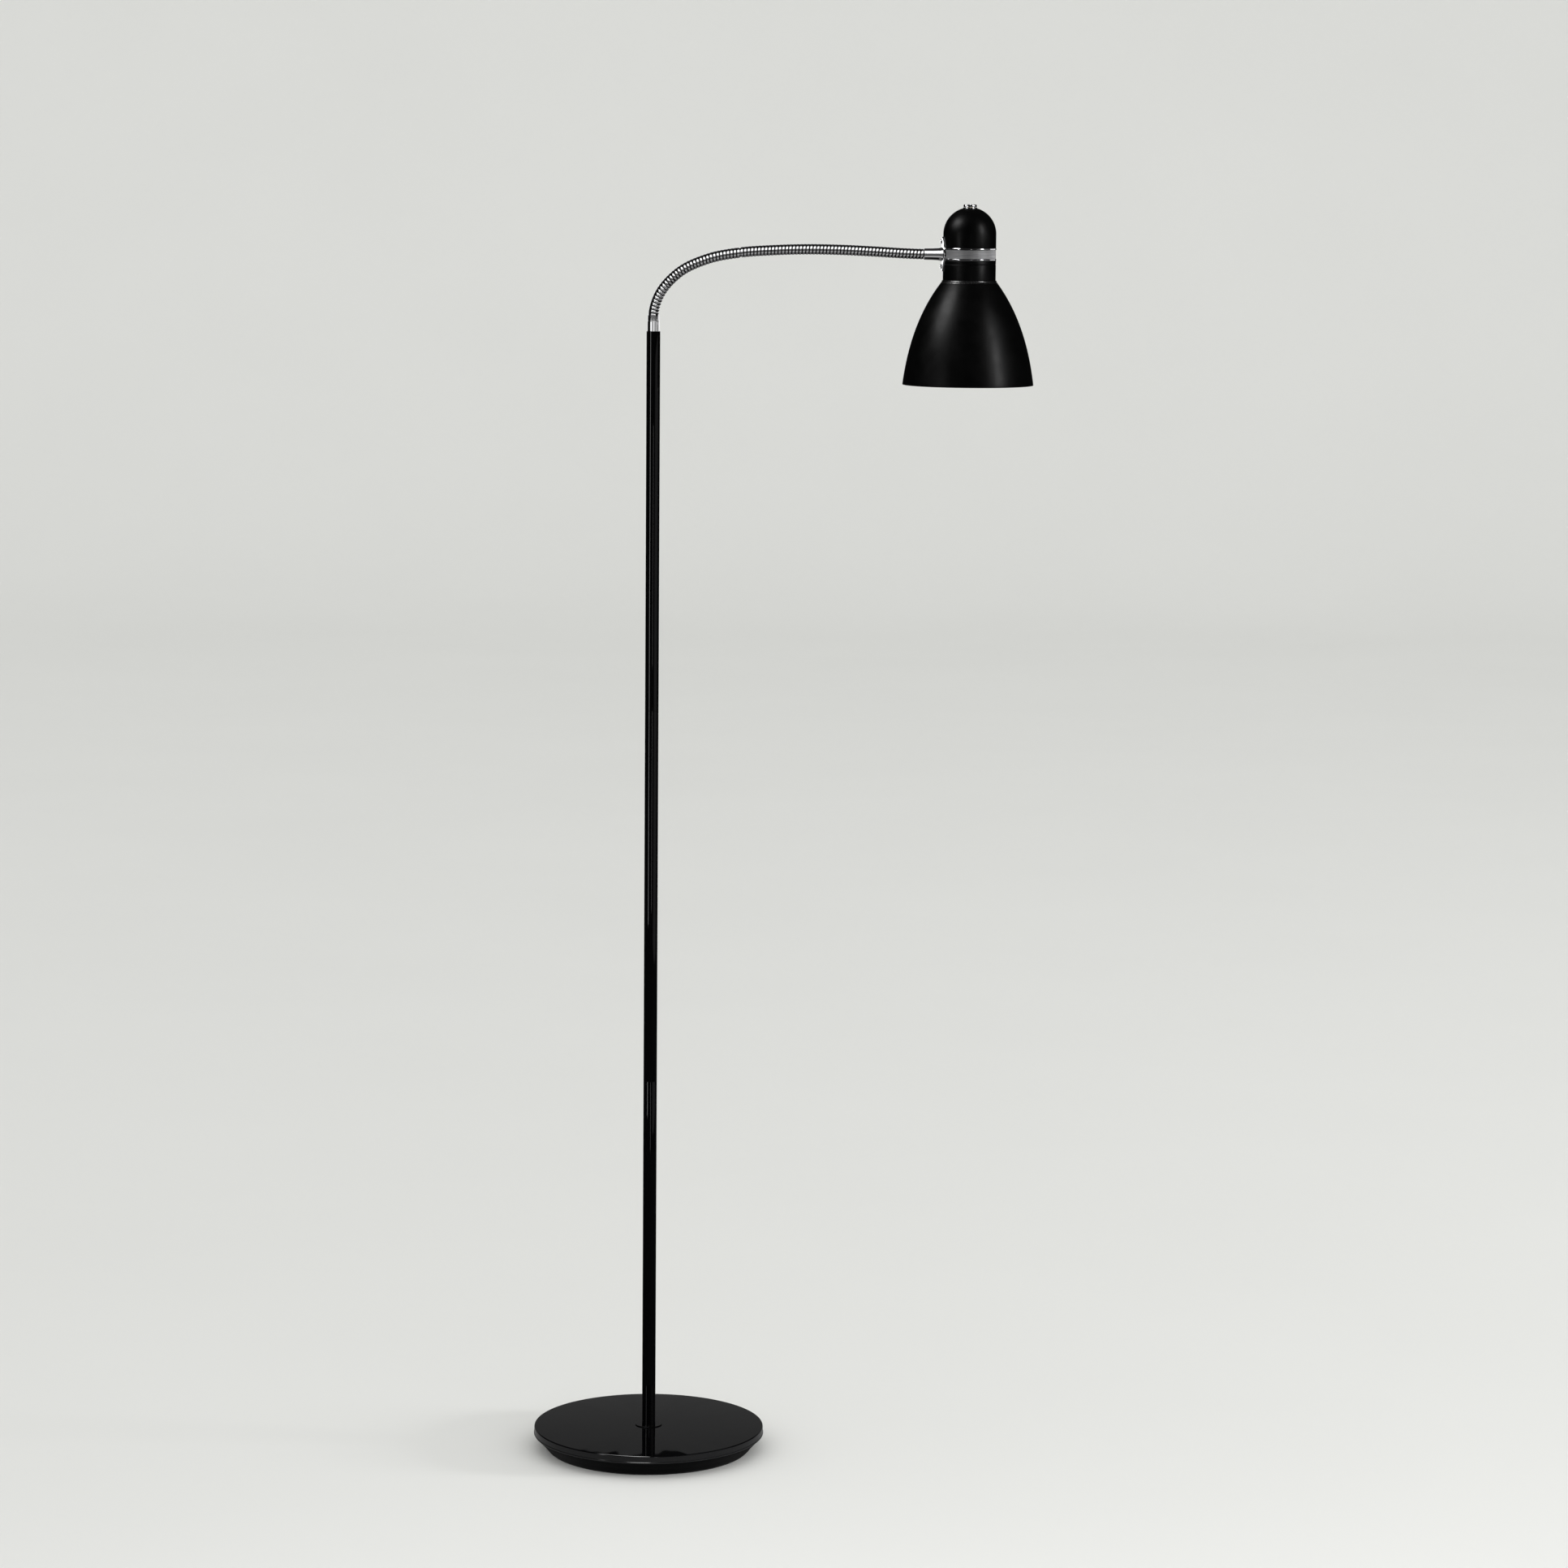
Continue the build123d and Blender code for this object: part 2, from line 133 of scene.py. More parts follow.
def set_shader(shader, **values):
    """Constant socket values, with spaces written as underscores."""
    for name, value in values.items():
        shader.inputs[name.replace("_", " ")].default_value = value


def noise(tree, scale, detail, roughness=0.55, stretch=(1, 1, 1)):
    """A noise texture in object space, stretched by its mapping."""
    place_at = tree.nodes.new("ShaderNodeTexCoord")
    mapping = tree.nodes.new("ShaderNodeMapping")
    mapping.inputs["Scale"].default_value = stretch
    tex = tree.nodes.new("ShaderNodeTexNoise")
    tex.inputs["Scale"].default_value = scale
    tex.inputs["Detail"].default_value = detail
    tex.inputs["Roughness"].default_value = roughness
    tree.links.new(place_at.outputs["Object"], mapping.inputs["Vector"])
    tree.links.new(mapping.outputs["Vector"], tex.inputs["Vector"])
    return tex.outputs["Fac"]


def ramp(tree, value, stops):
    """A colour ramp over a value: stops of (position, colour or grey)."""
    node = tree.nodes.new("ShaderNodeValToRGB")
    elements = node.color_ramp.elements
    while len(elements) < len(stops):
        elements.new(0.5)
    for element, (position, colour) in zip(elements, stops):
        element.position = position
        grey = not isinstance(colour, tuple)
        element.color = (colour, colour, colour, 1) if grey else (*colour, 1)
    tree.links.new(value, node.inputs["Fac"])
    return node.outputs["Color"]


def blend_values(tree, fac, a, b):
    """a where fac is 0, b where it is 1: floats or sockets."""
    node = tree.nodes.new("ShaderNodeMix")
    node.data_type = "FLOAT"
    tree.links.new(fac, node.inputs["Factor"])
    for socket, value in ((node.inputs["A"], a), (node.inputs["B"], b)):
        if hasattr(value, "links"):
            tree.links.new(value, socket)
        else:
            socket.default_value = value
    return node.outputs["Result"]


def bump(tree, shader, height, distance):
    """A bump from a height socket onto the shader."""
    node = tree.nodes.new("ShaderNodeBump")
    node.inputs["Distance"].default_value = distance
    node.inputs["Strength"].default_value = 1.0
    tree.links.new(height, node.inputs["Height"])
    tree.links.new(node.outputs["Normal"], shader.inputs["Normal"])


def edge_wear(tree):
    """0 on flats, towards 1 on sharp outer edges."""
    geometry = tree.nodes.new("ShaderNodeNewGeometry")
    return ramp(tree, geometry.outputs["Pointiness"], [(0.0, 0.0), (0.53, 0.0), (0.62, 1.0)])


def lacquer(name, colour, roughness, gloss, wave, spread=0.22):
    """Sprayed lacquer: faint orange-peel, dust-fine roughness change, slightly worn edges."""
    mat, tree, shader = new_material(name)
    patches = noise(tree, scale=18, detail=5)
    darker = tuple(c * (1 - spread) for c in colour)
    lighter = tuple(c * (1 + spread) for c in colour)
    tint = ramp(tree, patches, [(0.3, darker), (0.7, lighter)])
    tree.links.new(tint, shader.inputs["Base Color"])
    haze = noise(tree, scale=55, detail=6, roughness=0.6)
    smears = ramp(tree, haze, [(0.35, roughness * 0.86), (0.68, roughness * 1.16)])
    worn = blend_values(tree, edge_wear(tree), smears, roughness * 1.5)
    tree.links.new(worn, shader.inputs["Roughness"])
    peel = noise(tree, scale=420, detail=2, roughness=0.4)
    bump(tree, shader, peel, wave)
    set_shader(shader, Specular_IOR_Level=gloss)
    return mat


def polished(name, colour, roughness, scratch, stretch=(1, 1, 1), painted_groove_shade=None):
    """Plated or polished metal: fine wiping scratches and a slow change of roughness.

    A mesh attribute can be named, 1 deep in a groove: there the colour is taken towards near-black as painted
    shade in the grooves."""
    mat, tree, shader = new_material(name)
    film = noise(tree, scale=30, detail=4)
    dulled = tuple(c * 0.93 for c in colour)
    tint = ramp(tree, film, [(0.3, dulled), (0.75, colour)])
    # Painted shade in grooves: the colour is mixed towards near-black where the named attribute is 1.
    if painted_groove_shade:
        attribute = tree.nodes.new("ShaderNodeAttribute")
        attribute.attribute_name = painted_groove_shade
        groove_shade_mix = tree.nodes.new("ShaderNodeMix")
        groove_shade_mix.data_type = "RGBA"
        groove_shade_mix.blend_type = "MIX"
        tree.links.new(attribute.outputs["Fac"], groove_shade_mix.inputs["Factor"])
        tree.links.new(tint, groove_shade_mix.inputs["A"])
        groove_shade_mix.inputs["B"].default_value = (0.03, 0.03, 0.03, 1)
        tint = groove_shade_mix.outputs["Result"]
    tree.links.new(tint, shader.inputs["Base Color"])
    streaks = noise(tree, scale=900, detail=3, roughness=0.7, stretch=stretch)
    rough = ramp(tree, streaks, [(0.3, roughness * 0.7), (0.75, roughness * 1.5)])
    tree.links.new(rough, shader.inputs["Roughness"])
    bump(tree, shader, streaks, scratch)
    set_shader(shader, Metallic=1.0)
    return mat


def grained(name, colour, roughness, grain, depth, spread=0.25, gloss=0.5):
    """A matte moulded, cast, felt or rubber surface: fine grain over slow patches."""
    mat, tree, shader = new_material(name)
    fine = noise(tree, scale=grain, detail=8, roughness=0.65)
    slow = noise(tree, scale=25, detail=3)
    darker = tuple(c * (1 - spread) for c in colour)
    lighter = tuple(c * (1 + spread) for c in colour)
    tint = ramp(tree, slow, [(0.3, darker), (0.7, lighter)])
    tree.links.new(tint, shader.inputs["Base Color"])
    rough = ramp(tree, fine, [(0.3, roughness * 0.85), (0.7, min(1.0, roughness * 1.15))])
    tree.links.new(rough, shader.inputs["Roughness"])
    bump(tree, shader, fine, depth)
    set_shader(shader, Specular_IOR_Level=gloss)
    return mat


def opal_glass():
    """White-coated bulb glass: slightly glossy, light passes through it softly."""
    mat, tree, shader = new_material("opal_glass")
    cloud = noise(tree, scale=60, detail=3)
    tint = ramp(tree, cloud, [(0.3, (0.86, 0.85, 0.82)), (0.7, (0.93, 0.92, 0.90))])
    tree.links.new(tint, shader.inputs["Base Color"])
    rough = ramp(tree, cloud, [(0.3, 0.16), (0.7, 0.26)])
    tree.links.new(rough, shader.inputs["Roughness"])
    set_shader(shader, Subsurface_Weight=0.35, Subsurface_Scale=0.004)
    return mat


# lacquer: colour, roughness, gloss, bump depth in m, tint spread
# polished: colour, roughness, scratch depth in m, stretch of the scratches, mesh attribute for painted groove
# shade
# grained: colour, roughness, grain's scale, bump depth in m, tint spread
LOOKS = {
    "gloss_black": lacquer("gloss_black", (0.0012, 0.0012, 0.0014), 0.035, 0.5, 0.000002),
    "satin_black": lacquer("satin_black", (0.0004, 0.0004, 0.00045), 0.36, 0.15, 0.00001),
    "edge_black": lacquer("edge_black", (0.006, 0.006, 0.0064), 0.12, 0.5, 0.00002),
    "shade_white": lacquer("shade_white", (0.80, 0.79, 0.76), 0.32, 0.5, 0.00001, 0.02),
    "cast_black": grained("cast_black", (0.0012, 0.0012, 0.0013), 0.38, 350, 0.0001, gloss=0.08),
    "chrome": polished("chrome", (0.84, 0.84, 0.85), 0.07, 0.000004),
    # ribbed_chrome has painted shade in its grooves and bore, from the groove attribute.
    "ribbed_chrome": polished("ribbed_chrome", (0.84, 0.84, 0.85), 0.09, 0.000004, painted_groove_shade="groove"),
    "worn_edge": polished("worn_edge", (0.16, 0.16, 0.16), 0.22, 0.00001),
    "bead_chrome": polished("bead_chrome", (0.46, 0.46, 0.47), 0.12, 0.000004),
    "brushed_chrome": polished("brushed_chrome", (0.38, 0.38, 0.387), 0.60, 0.00003, (0.04, 0.04, 1.0)),
    "zinc": polished("zinc", (0.55, 0.56, 0.58), 0.34, 0.00001),
    "brass": polished("brass", (0.80, 0.60, 0.30), 0.25, 0.00001),
    "nickel": polished("nickel", (0.66, 0.63, 0.58), 0.22, 0.00001),
    "rubber": grained("rubber", (0.012, 0.012, 0.012), 0.62, 700, 0.00005),
    "felt": grained("felt", (0.018, 0.018, 0.019), 0.95, 900, 0.0005, 0.4),
    "phenolic": lacquer("phenolic", (0.010, 0.008, 0.007), 0.28, 0.5, 0.00001),
    "ceramic": grained("ceramic", (0.80, 0.78, 0.72), 0.30, 200, 0.00003, 0.05),
    "jacket": grained("jacket", (0.02, 0.02, 0.022), 0.45, 500, 0.00003),
    "opal_glass": opal_glass(),
}


# ---- mesh helpers -------------------------------------------------------------------------
def add_mesh(name, verts, faces, looks, face_look=None, smooth_angle=35):
    """A mesh object with its materials, smooth except across edges sharper than smooth_angle."""
    mesh = bpy.data.meshes.new(name)
    mesh.from_pydata([tuple(v) for v in verts], [], faces)
    work = bmesh.new()
    work.from_mesh(mesh)
    bmesh.ops.recalc_face_normals(work, faces=work.faces)
    work.to_mesh(mesh)
    work.free()
    for look in looks if isinstance(looks, (list, tuple)) else [looks]:
        mesh.materials.append(LOOKS[look])
    if face_look:
        for polygon, index in zip(mesh.polygons, face_look):
            polygon.material_index = index
    mesh.polygons.foreach_set("use_smooth", [True] * len(mesh.polygons))
    mesh.set_sharp_from_angle(angle=radians(smooth_angle))
    obj = bpy.data.objects.new(name, mesh)
    bpy.context.scene.collection.objects.link(obj)
    return obj


def circle(sides):
    """The (cos, sin) of evenly spaced directions."""
    return [(cos(2 * pi * k / sides), sin(2 * pi * k / sides)) for k in range(sides)]


def ring_faces(rows, sides, closed=False):
    """Quads between neighbouring rings of points; closed joins the last ring to the first as well."""
    faces = []
    for row in range(rows if closed else rows - 1):
        here = row * sides
        after = (row + 1) % rows * sides
        for k in range(sides):
            n = (k + 1) % sides
            faces.append((here + k, here + n, after + n, after + k))
    return faces


def rounded(points, closed=True, steps=6):
    """An outline with each corner (x, y, radius) replaced by a curve, near an arc; radius 0 stays sharp."""
    out = []
    count = len(points)
    for i, (x, y, radius) in enumerate(points):
        if radius == 0 or (not closed and i in (0, count - 1)):
            out.append((x, y))
            continue
        here = Vector((x, y))
        back = Vector(points[i - 1][:2]) - here
        fore = Vector(points[(i + 1) % count][:2]) - here
        half = back.angle(fore) / 2
        longest = min(back.length, fore.length) * 0.49
        reach = min(radius / max(sin(half) / cos(half), 1e-6), longest)
        a = here + back.normalized() * reach
        b = here + fore.normalized() * reach
        for k in range(steps + 1):
            t = k / steps
            out.append(tuple(a * (1 - t) ** 2 + here * 2 * t * (1 - t) + b * t**2))
    return out


def lathe(name, outline, looks, centre=(0, 0, 0), axis="Z", around=AROUND, look_of=None, smooth_angle=35):
    """A closed ring or solid of revolution from a closed outline of (radius, height) points.

    Points at radius 0 become one pole point each. look_of(step) picks the material of the outline's
    step from one point to the next."""
    spokes = circle(around)
    verts, rings = [], []
    for radius, height in outline:
        if radius < 1e-9:
            rings.append([len(verts)] * around)
            verts.append((0.0, 0.0, height))
            continue
        rings.append(list(range(len(verts), len(verts) + around)))
        verts += [(radius * c, radius * s, height) for c, s in spokes]
    faces, picked = [], []
    for i, ring in enumerate(rings):
        after = rings[(i + 1) % len(rings)]
        if ring[0] == ring[1] and after[0] == after[1]:
            continue
        for k in range(around):
            n = (k + 1) % around
            corners = [ring[k], ring[n], after[n], after[k]]
            face = [c for j, c in enumerate(corners) if c not in corners[:j]]
            faces.append(face)
            picked.append(look_of(i) if look_of else 0)
    placed = [AXIS_TURNS[axis] @ Vector(v) + Vector(centre) for v in verts]
    return add_mesh(name, placed, faces, looks, picked, smooth_angle)


def arc(centre, radius, start, end, steps):
    """Points along a circle's arc, angles in degrees."""
    points = []
    for k in range(steps + 1):
        angle = radians(start + (end - start) * k / steps)
        points.append((centre[0] + radius * cos(angle), centre[1] + radius * sin(angle)))
    return points


def bezier(a, b, c, d, steps):
    """Points along a cubic Bezier curve."""
    points = []
    for k in range(steps + 1):
        t = k / steps
        s = 1 - t
        weighted = [a[n] * s**3 + 3 * b[n] * t * s**2 + 3 * c[n] * t**2 * s + d[n] * t**3 for n in (0, 1)]
        points.append(tuple(weighted))
    return points


def wound(base, crest, start, end, pitch, steps=8):
    """An outline of rounded screw ridges between two heights, going down."""
    count = round(abs(end - start) / pitch)
    points = []
    for k in range(count * steps + 1):
        wave = 0.5 - 0.5 * cos(2 * pi * k / steps)
        points.append((base + (crest - base) * wave, start + (end - start) * k / (count * steps)))
    return points


def cut(obj, tool):
    """Subtracts a tool mesh from an object and deletes the tool."""
    modifier = obj.modifiers.new("cut", "BOOLEAN")
    modifier.operation = "DIFFERENCE"
    modifier.solver = "EXACT"
    modifier.object = tool
    bpy.context.view_layer.update()
    evaluated = obj.evaluated_get(bpy.context.evaluated_depsgraph_get())
    done = bpy.data.meshes.new_from_object(evaluated)
    obj.modifiers.clear()
    obj.data = done
    bpy.data.objects.remove(tool)
    done.polygons.foreach_set("use_smooth", [True] * len(done.polygons))
    done.set_sharp_from_angle(angle=radians(35))
    return obj


def block(name, size, centre):
    """A box mesh used only as a cutting tool."""
    corners = []
    for x in (-1, 1):
        for y in (-1, 1):
            for z in (-1, 1):
                corner = Vector((x * size[0] / 2, y * size[1] / 2, z * size[2] / 2))
                corners.append(corner + Vector(centre))
    sides = [(0, 1, 3, 2), (4, 6, 7, 5), (0, 4, 5, 1), (2, 3, 7, 6), (0, 2, 6, 4), (1, 5, 7, 3)]
    return add_mesh(name, corners, sides, "zinc")


def place(piece, body, slot, *nodes):
    """Rides a piece on its body and hides the CAD nodes it stands for. The slot argument is not used."""
    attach(piece, body)
    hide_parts(*nodes)
    return piece


# ---- base -----------------------------------------------------------------------------------
def make_base_cover():
    """The pressed cover: a flat gloss top, a rim with a rolled bead, and a slight ripple at the bend."""
    rim, top, foot = COVER_RIM, COVER_TOP, COVER_FOOT
    inside = rim - COVER_WALL
    cover = rounded(
        [
            (POLE_RADIUS, top, 0),
            (rim, top, 1.3 * MM),
            (rim, foot + 2.0 * MM, 0.5 * MM),
            (BASE_RADIUS, foot + 1.5 * MM, 0.35 * MM),
            (BASE_RADIUS, foot + 0.3 * MM, 0.5 * MM),
            (rim - 0.4 * MM, foot, 0.3 * MM),
            (inside, foot + 0.2 * MM, 0.3 * MM),
            (inside, top - COVER_WALL, 1.0 * MM),
            (POLE_RADIUS, top - COVER_WALL, 0),
        ]
    )

    def cover_look(step):
        ends = cover[step], cover[(step + 1) % len(cover)]
        at_rim = min(r for r, _ in ends) > rim - 1.2 * MM
        below_top = min(z for _, z in ends) < top - 1.0 * MM
        return 1 if at_rim and below_top else 0

    shell = lathe("base_cover_mesh", cover, ["gloss_black", "edge_black"], around=256, look_of=cover_look)
    ripple = bmesh.new()
    ripple.from_mesh(shell.data)
    crease, reach, depth = rim - 0.5 * MM, 1.4 * MM, 0.035 * MM
    for vert in ripple.verts:
        radius = hypot(vert.co.x, vert.co.y)
        angle = atan2(vert.co.y, vert.co.x)
        near_edge = max(0.0, 1 - abs(radius - crease) / reach) * (vert.co.z > top - 2 * MM)
        wave = sin(9 * angle + 1.3) + 0.8 * sin(23 * angle + 0.4) + 0.6 * sin(41 * angle + 2.1)
        vert.co.z -= depth * near_edge * (1 + wave / 2.4)
    ripple.to_mesh(shell.data)
    ripple.free()
    place(shell, "stand", "black_gloss", "base_cover")


def make_base_weight():
    """The cast weight, with a flat and a hole at the back for the cord's inlet."""
    skirt = COVER_RIM - COVER_WALL - 0.1 * MM
    lid = COVER_TOP - COVER_WALL - 0.1 * MM
    weight = rounded(
        [
            (0.005, 14 * MM, 0),
            (0.016, 14 * MM, 0.5 * MM),
            (0.016, WEIGHT_FOOT, 0.5 * MM),
            (0.115, WEIGHT_FOOT, 1.2 * MM),
            (0.1203, 8 * MM, 8 * MM),
            (skirt, COVER_FOOT - 0.9 * MM, 1.2 * MM),
            (skirt, lid, 0.5 * MM),
            (0.005, lid, 0),
        ]
    )
    body = lathe("base_weight_mesh", weight, "cast_black", around=256)
    flat_size = (0.020, 0.020, 2 * (INLET_Z - WEIGHT_FOOT))
    flat = block("inlet_flat", flat_size, (0, INLET_FACE + 0.010, INLET_Z))
    cut(body, flat)
    bore = [(0, 0.014), (5.0 * MM, 0.014), (5.0 * MM, INLET_FACE + 0.002), (0, INLET_FACE + 0.002)]
    drill = lathe("inlet_drill", bore, "zinc", (0, 0, INLET_Z), "Y", 64)
    cut(body, drill)
    place(body, "stand", "black_iron", "base_weight")


def make_base_fittings():
    """The felt pad, the washer round the pole's foot and the rubber inlet."""
    pad_radius = 0.1135
    pad = rounded(
        [
            (0, 0, 0),
            (pad_radius, 0, 0.5 * MM),
            (pad_radius, WEIGHT_FOOT, 0.3 * MM),
            (0, WEIGHT_FOOT, 0),
        ]
    )
    place(lathe("base_pad_mesh", pad, "felt"), "stand", "felt_pad", "base_pad")

    hole = POLE_RADIUS + 0.05 * MM
    washer = rounded(
        [
            (hole, COVER_TOP, 0),
            (0.015, COVER_TOP, 0),
            (0.015, COVER_TOP + 0.9 * MM, 0.1 * MM),
            (0.0149, COVER_TOP + 1.0 * MM, 0.1 * MM),
            (hole, COVER_TOP + 1.0 * MM, 0.3 * MM),
        ]
    )

    def washer_look(step):
        ends = washer[step], washer[(step + 1) % len(washer)]
        return 1 if max(r for r, _ in ends) > 0.01495 else 0

    disc = lathe("foot_washer_mesh", washer, ["gloss_black", "satin_black"], look_of=washer_look)
    place(disc, "stand", "black_gloss", "foot_washer")

    bush = rounded(
        [
            (3.5 * MM, -12 * MM, 0),
            (4.95 * MM, -12 * MM, 0.3 * MM),
            (4.95 * MM, 0, 0),
            (6.5 * MM, 0, 0.2 * MM),
            (6.5 * MM, 2.4 * MM, 1.2 * MM),
            (3.5 * MM, 2.4 * MM, 1.0 * MM),
        ]
    )
    grommet = lathe("cord_inlet_mesh", bush, "rubber", (0, INLET_FACE, INLET_Z), "Y", 64)
    place(grommet, "stand", "black_rubber", "cord_inlet")


# ---- pole -----------------------------------------------------------------------------------
def make_pole():
    """The three tubes, and the chrome ferrule on the top one."""
    edge = 0.35 * MM
    for name in ("pole_lower", "pole_middle", "pole_upper"):
        foot, top = low(name).z, high(name).z
        outline = rounded(
            [
                (POLE_INNER, foot, 0),
                (POLE_RADIUS, foot, edge),
                (POLE_RADIUS, top, edge),
                (POLE_INNER, top, 0),
            ],
            steps=4,
        )
        pipe = lathe(name + "_mesh", outline, "gloss_black", around=96)
        place(pipe, "stand", "black_gloss", name)

    ferrule = rounded(
        [
            (3.7 * MM, POLE_TOP - 14 * MM, 0),
            (4.95 * MM, POLE_TOP - 14 * MM, 0.3 * MM),
            (4.95 * MM, POLE_TOP, 0),
            (6.9 * MM, POLE_TOP, 0.4 * MM),
            (6.9 * MM, POLE_TOP + 11.0 * MM, 0.5 * MM),
            (6.55 * MM, POLE_TOP + 11.5 * MM, 0.2 * MM),
            (6.5 * MM, ARM_FOOT - 0.3 * MM, 0.2 * MM),
            (6.0 * MM, ARM_FOOT, 0.1 * MM),
            (3.7 * MM, ARM_FOOT, 0),
        ]
    )
    sleeve = lathe("lower_ferrule_mesh", ferrule, "chrome", around=96)
    place(sleeve, "stand", "polished_chrome", "lower_ferrule")


# ---- gooseneck arm --------------------------------------------------------------------------
def arm_line(step):
    """Points along the arm's centreline from its foot to the head, about a step apart.

    It runs through every hinge, with the tangent there of the circle through its neighbours."""
    knots = [Vector((0, 0, ARM_FOOT)), *HINGE_POINTS, Vector((ARM_END_X, 0, RING_Z))]
    tangents = [Vector((0, 0, 1))]
    for before, here, after in zip(knots, knots[1:], knots[2:]):
        a, b = here - before, after - here
        tangents.append((a * b.length / a.length + b * a.length / b.length).normalized())
    tangents.append(Vector((1, 0, 0)))
    dense = []
    parts = 80
    for p, q, tp, tq in zip(knots, knots[1:], tangents, tangents[1:]):
        reach = (q - p).length
        for k in range(parts):
            t = k / parts
            dense.append(
                p * (2 * t**3 - 3 * t**2 + 1)
                + q * (3 * t**2 - 2 * t**3)
                + tp * reach * (t**3 - 2 * t**2 + t)
                + tq * reach * (t**3 - t**2)
            )
    dense.append(knots[-1])
    travelled = [0.0]
    for p, q in zip(dense, dense[1:]):
        travelled.append(travelled[-1] + (q - p).length)
    count = round(travelled[-1] / step)
    points, at = [], 0
    for k in range(count + 1):
        want = travelled[-1] * k / count
        while at < len(dense) - 2 and travelled[at + 1] < want:
            at += 1
        share = (want - travelled[at]) / (travelled[at + 1] - travelled[at])
        points.append(dense[at].lerp(dense[at + 1], share))
    return points


GOOSENECK_PITCH = 3.8 * MM
GOOSENECK_RADIUS = 5.9 * MM
GOOSENECK_BORE = 3.7 * MM
RIB_DEPTH = 0.9 * MM
RIB_STEPS = 14
GOOSENECK_AROUND = 56
# So the span is two stiff halves on a ball, each ending some rings short of the hinge.
STIFF_SPAN = 4
STIFF_GAP_STEPS = 4
HINGE_BALL = 5.0 * MM
HINGE_SOCKET = 5.1 * MM


def rib_phase(i, k):
    """Where point k of ring i is across its rib, from -1 to 1."""
    return 2 * ((i / RIB_STEPS - k / GOOSENECK_AROUND) % 1.0) - 1


def groove_at(i, k):
    """How deep in the groove between two ribs point k of ring i is, from 0 to 1."""
    return min(1.0, max(0.0, abs(rib_phase(i, k)) - 0.5) / 0.25)


def gooseneck_rings(points, ball):
    """The tube's rings along its centreline: a ribbed outer one and a plain one in the bore for each point.

    Round the ball the bore widens into a socket."""
    last = len(points) - 1
    side = Vector((0, 1, 0))
    spokes = circle(GOOSENECK_AROUND)
    rings = []
    for i, point in enumerate(points):
        ahead = (points[min(i + 1, last)] - points[max(i - 1, 0)]).normalized()
        up = side.cross(ahead)
        hollow = sqrt(max(0.0, HINGE_SOCKET**2 - (point - ball).length_squared))
        bore_radius = max(GOOSENECK_BORE, hollow)
        outer, bore = [], []
        for k, (c, s) in enumerate(spokes):
            spoke = side * c + up * s
            bulge = sqrt(1 - 0.95 * rib_phase(i, k) ** 2)
            outer.append(point + spoke * (GOOSENECK_RADIUS - RIB_DEPTH * (1 - bulge)))
            bore.append(point + spoke * bore_radius)
        rings.append((outer, bore))
    return rings


def gooseneck_stretch(name, rings, first, end):
    """The tube from ring first to ring end, closed at both ends."""
    around = GOOSENECK_AROUND
    used = rings[first : end + 1]
    verts = [v for outer, _ in used for v in outer]
    inner = len(verts)
    verts += [v for _, bore in used for v in bore]
    faces = []
    for i in range(len(used) - 1):
        for k in range(around):
            n = (k + 1) % around
            a, b = i * around, (i + 1) * around
            faces.append((a + k, a + n, b + n, b + k))
            faces.append((inner + a + k, inner + b + k, inner + b + n, inner + a + n))
    for a in (0, inner - around):
        for k in range(around):
            n = (k + 1) % around
            faces.append((a + k, a + n, inner + a + n, inner + a + k))
    piece = add_mesh(name, verts, faces, "ribbed_chrome", smooth_angle=60)
    # The groove attribute drives painted shade: by depth in the grooves outside, and full in the bore.
    grooves = [groove_at(i, k) for i in range(first, end + 1) for k in range(around)]
    grooves += [1.0] * inner
    piece.data.attributes.new("groove", "FLOAT", "POINT").data.foreach_set("value", grooves)
    return piece


def hinge_ball(name, centre):
    """The bored ball in the gap between the two stiff halves, which turn round it."""
    outline = [(3.4 * MM, -2.6 * MM), *arc((0, 0), HINGE_BALL, -31.3, 31.3, 10), (3.4 * MM, 2.6 * MM)]
    piece = lathe(name, outline, "ribbed_chrome", tuple(centre), "X", 48)
    # Painted shade: the whole ball is darkened half as much as the deepest groove.
    painted_half_shade = [0.5] * len(piece.data.vertices)
    piece.data.attributes.new("groove", "FLOAT", "POINT").data.foreach_set("value", painted_half_shade)
    return piece


def make_gooseneck():
    """A wound tube of rounded ribs, in one span per hinge.

    Each span but the stiff one is built in place on no body; the stiff one's two halves ride the bodies on
    either side of its hinge."""
    points = arm_line(GOOSENECK_PITCH / RIB_STEPS)
    last = len(points) - 1
    ball = HINGE_POINTS[STIFF_SPAN - 1]
    rings = gooseneck_rings(points, ball)
    nearest = []
    for hinge in HINGE_POINTS:
        distances = [(point - hinge).length for point in points]
        nearest.append(distances.index(min(distances)))
    cuts = [0, *[(a + b) // 2 for a, b in zip(nearest, nearest[1:])], last]
    for number, (first, end) in enumerate(zip(cuts, cuts[1:]), 1):
        name = f"gooseneck_span_{number}"
        before, after = ARM_BODIES[number - 1], ARM_BODIES[number]
        node = "gooseneck_root" if number == 1 else f"gooseneck_{number - 1}"
        if number == STIFF_SPAN:
            at = nearest[number - 1]
            near = gooseneck_stretch(name + "_near", rings, first, at - STIFF_GAP_STEPS)
            place(near, before, "polished_chrome", node)
            place(hinge_ball(name + "_ball", ball), before, "polished_chrome", node)
            far = gooseneck_stretch(name + "_far", rings, at + STIFF_GAP_STEPS, end)
            place(far, after, "polished_chrome", f"gooseneck_{number}")
            continue
        piece = gooseneck_stretch(name, rings, first, end)
        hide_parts(node)
        if number == len(HINGE_POINTS):
            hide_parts("gooseneck_tip")
        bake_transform(piece)


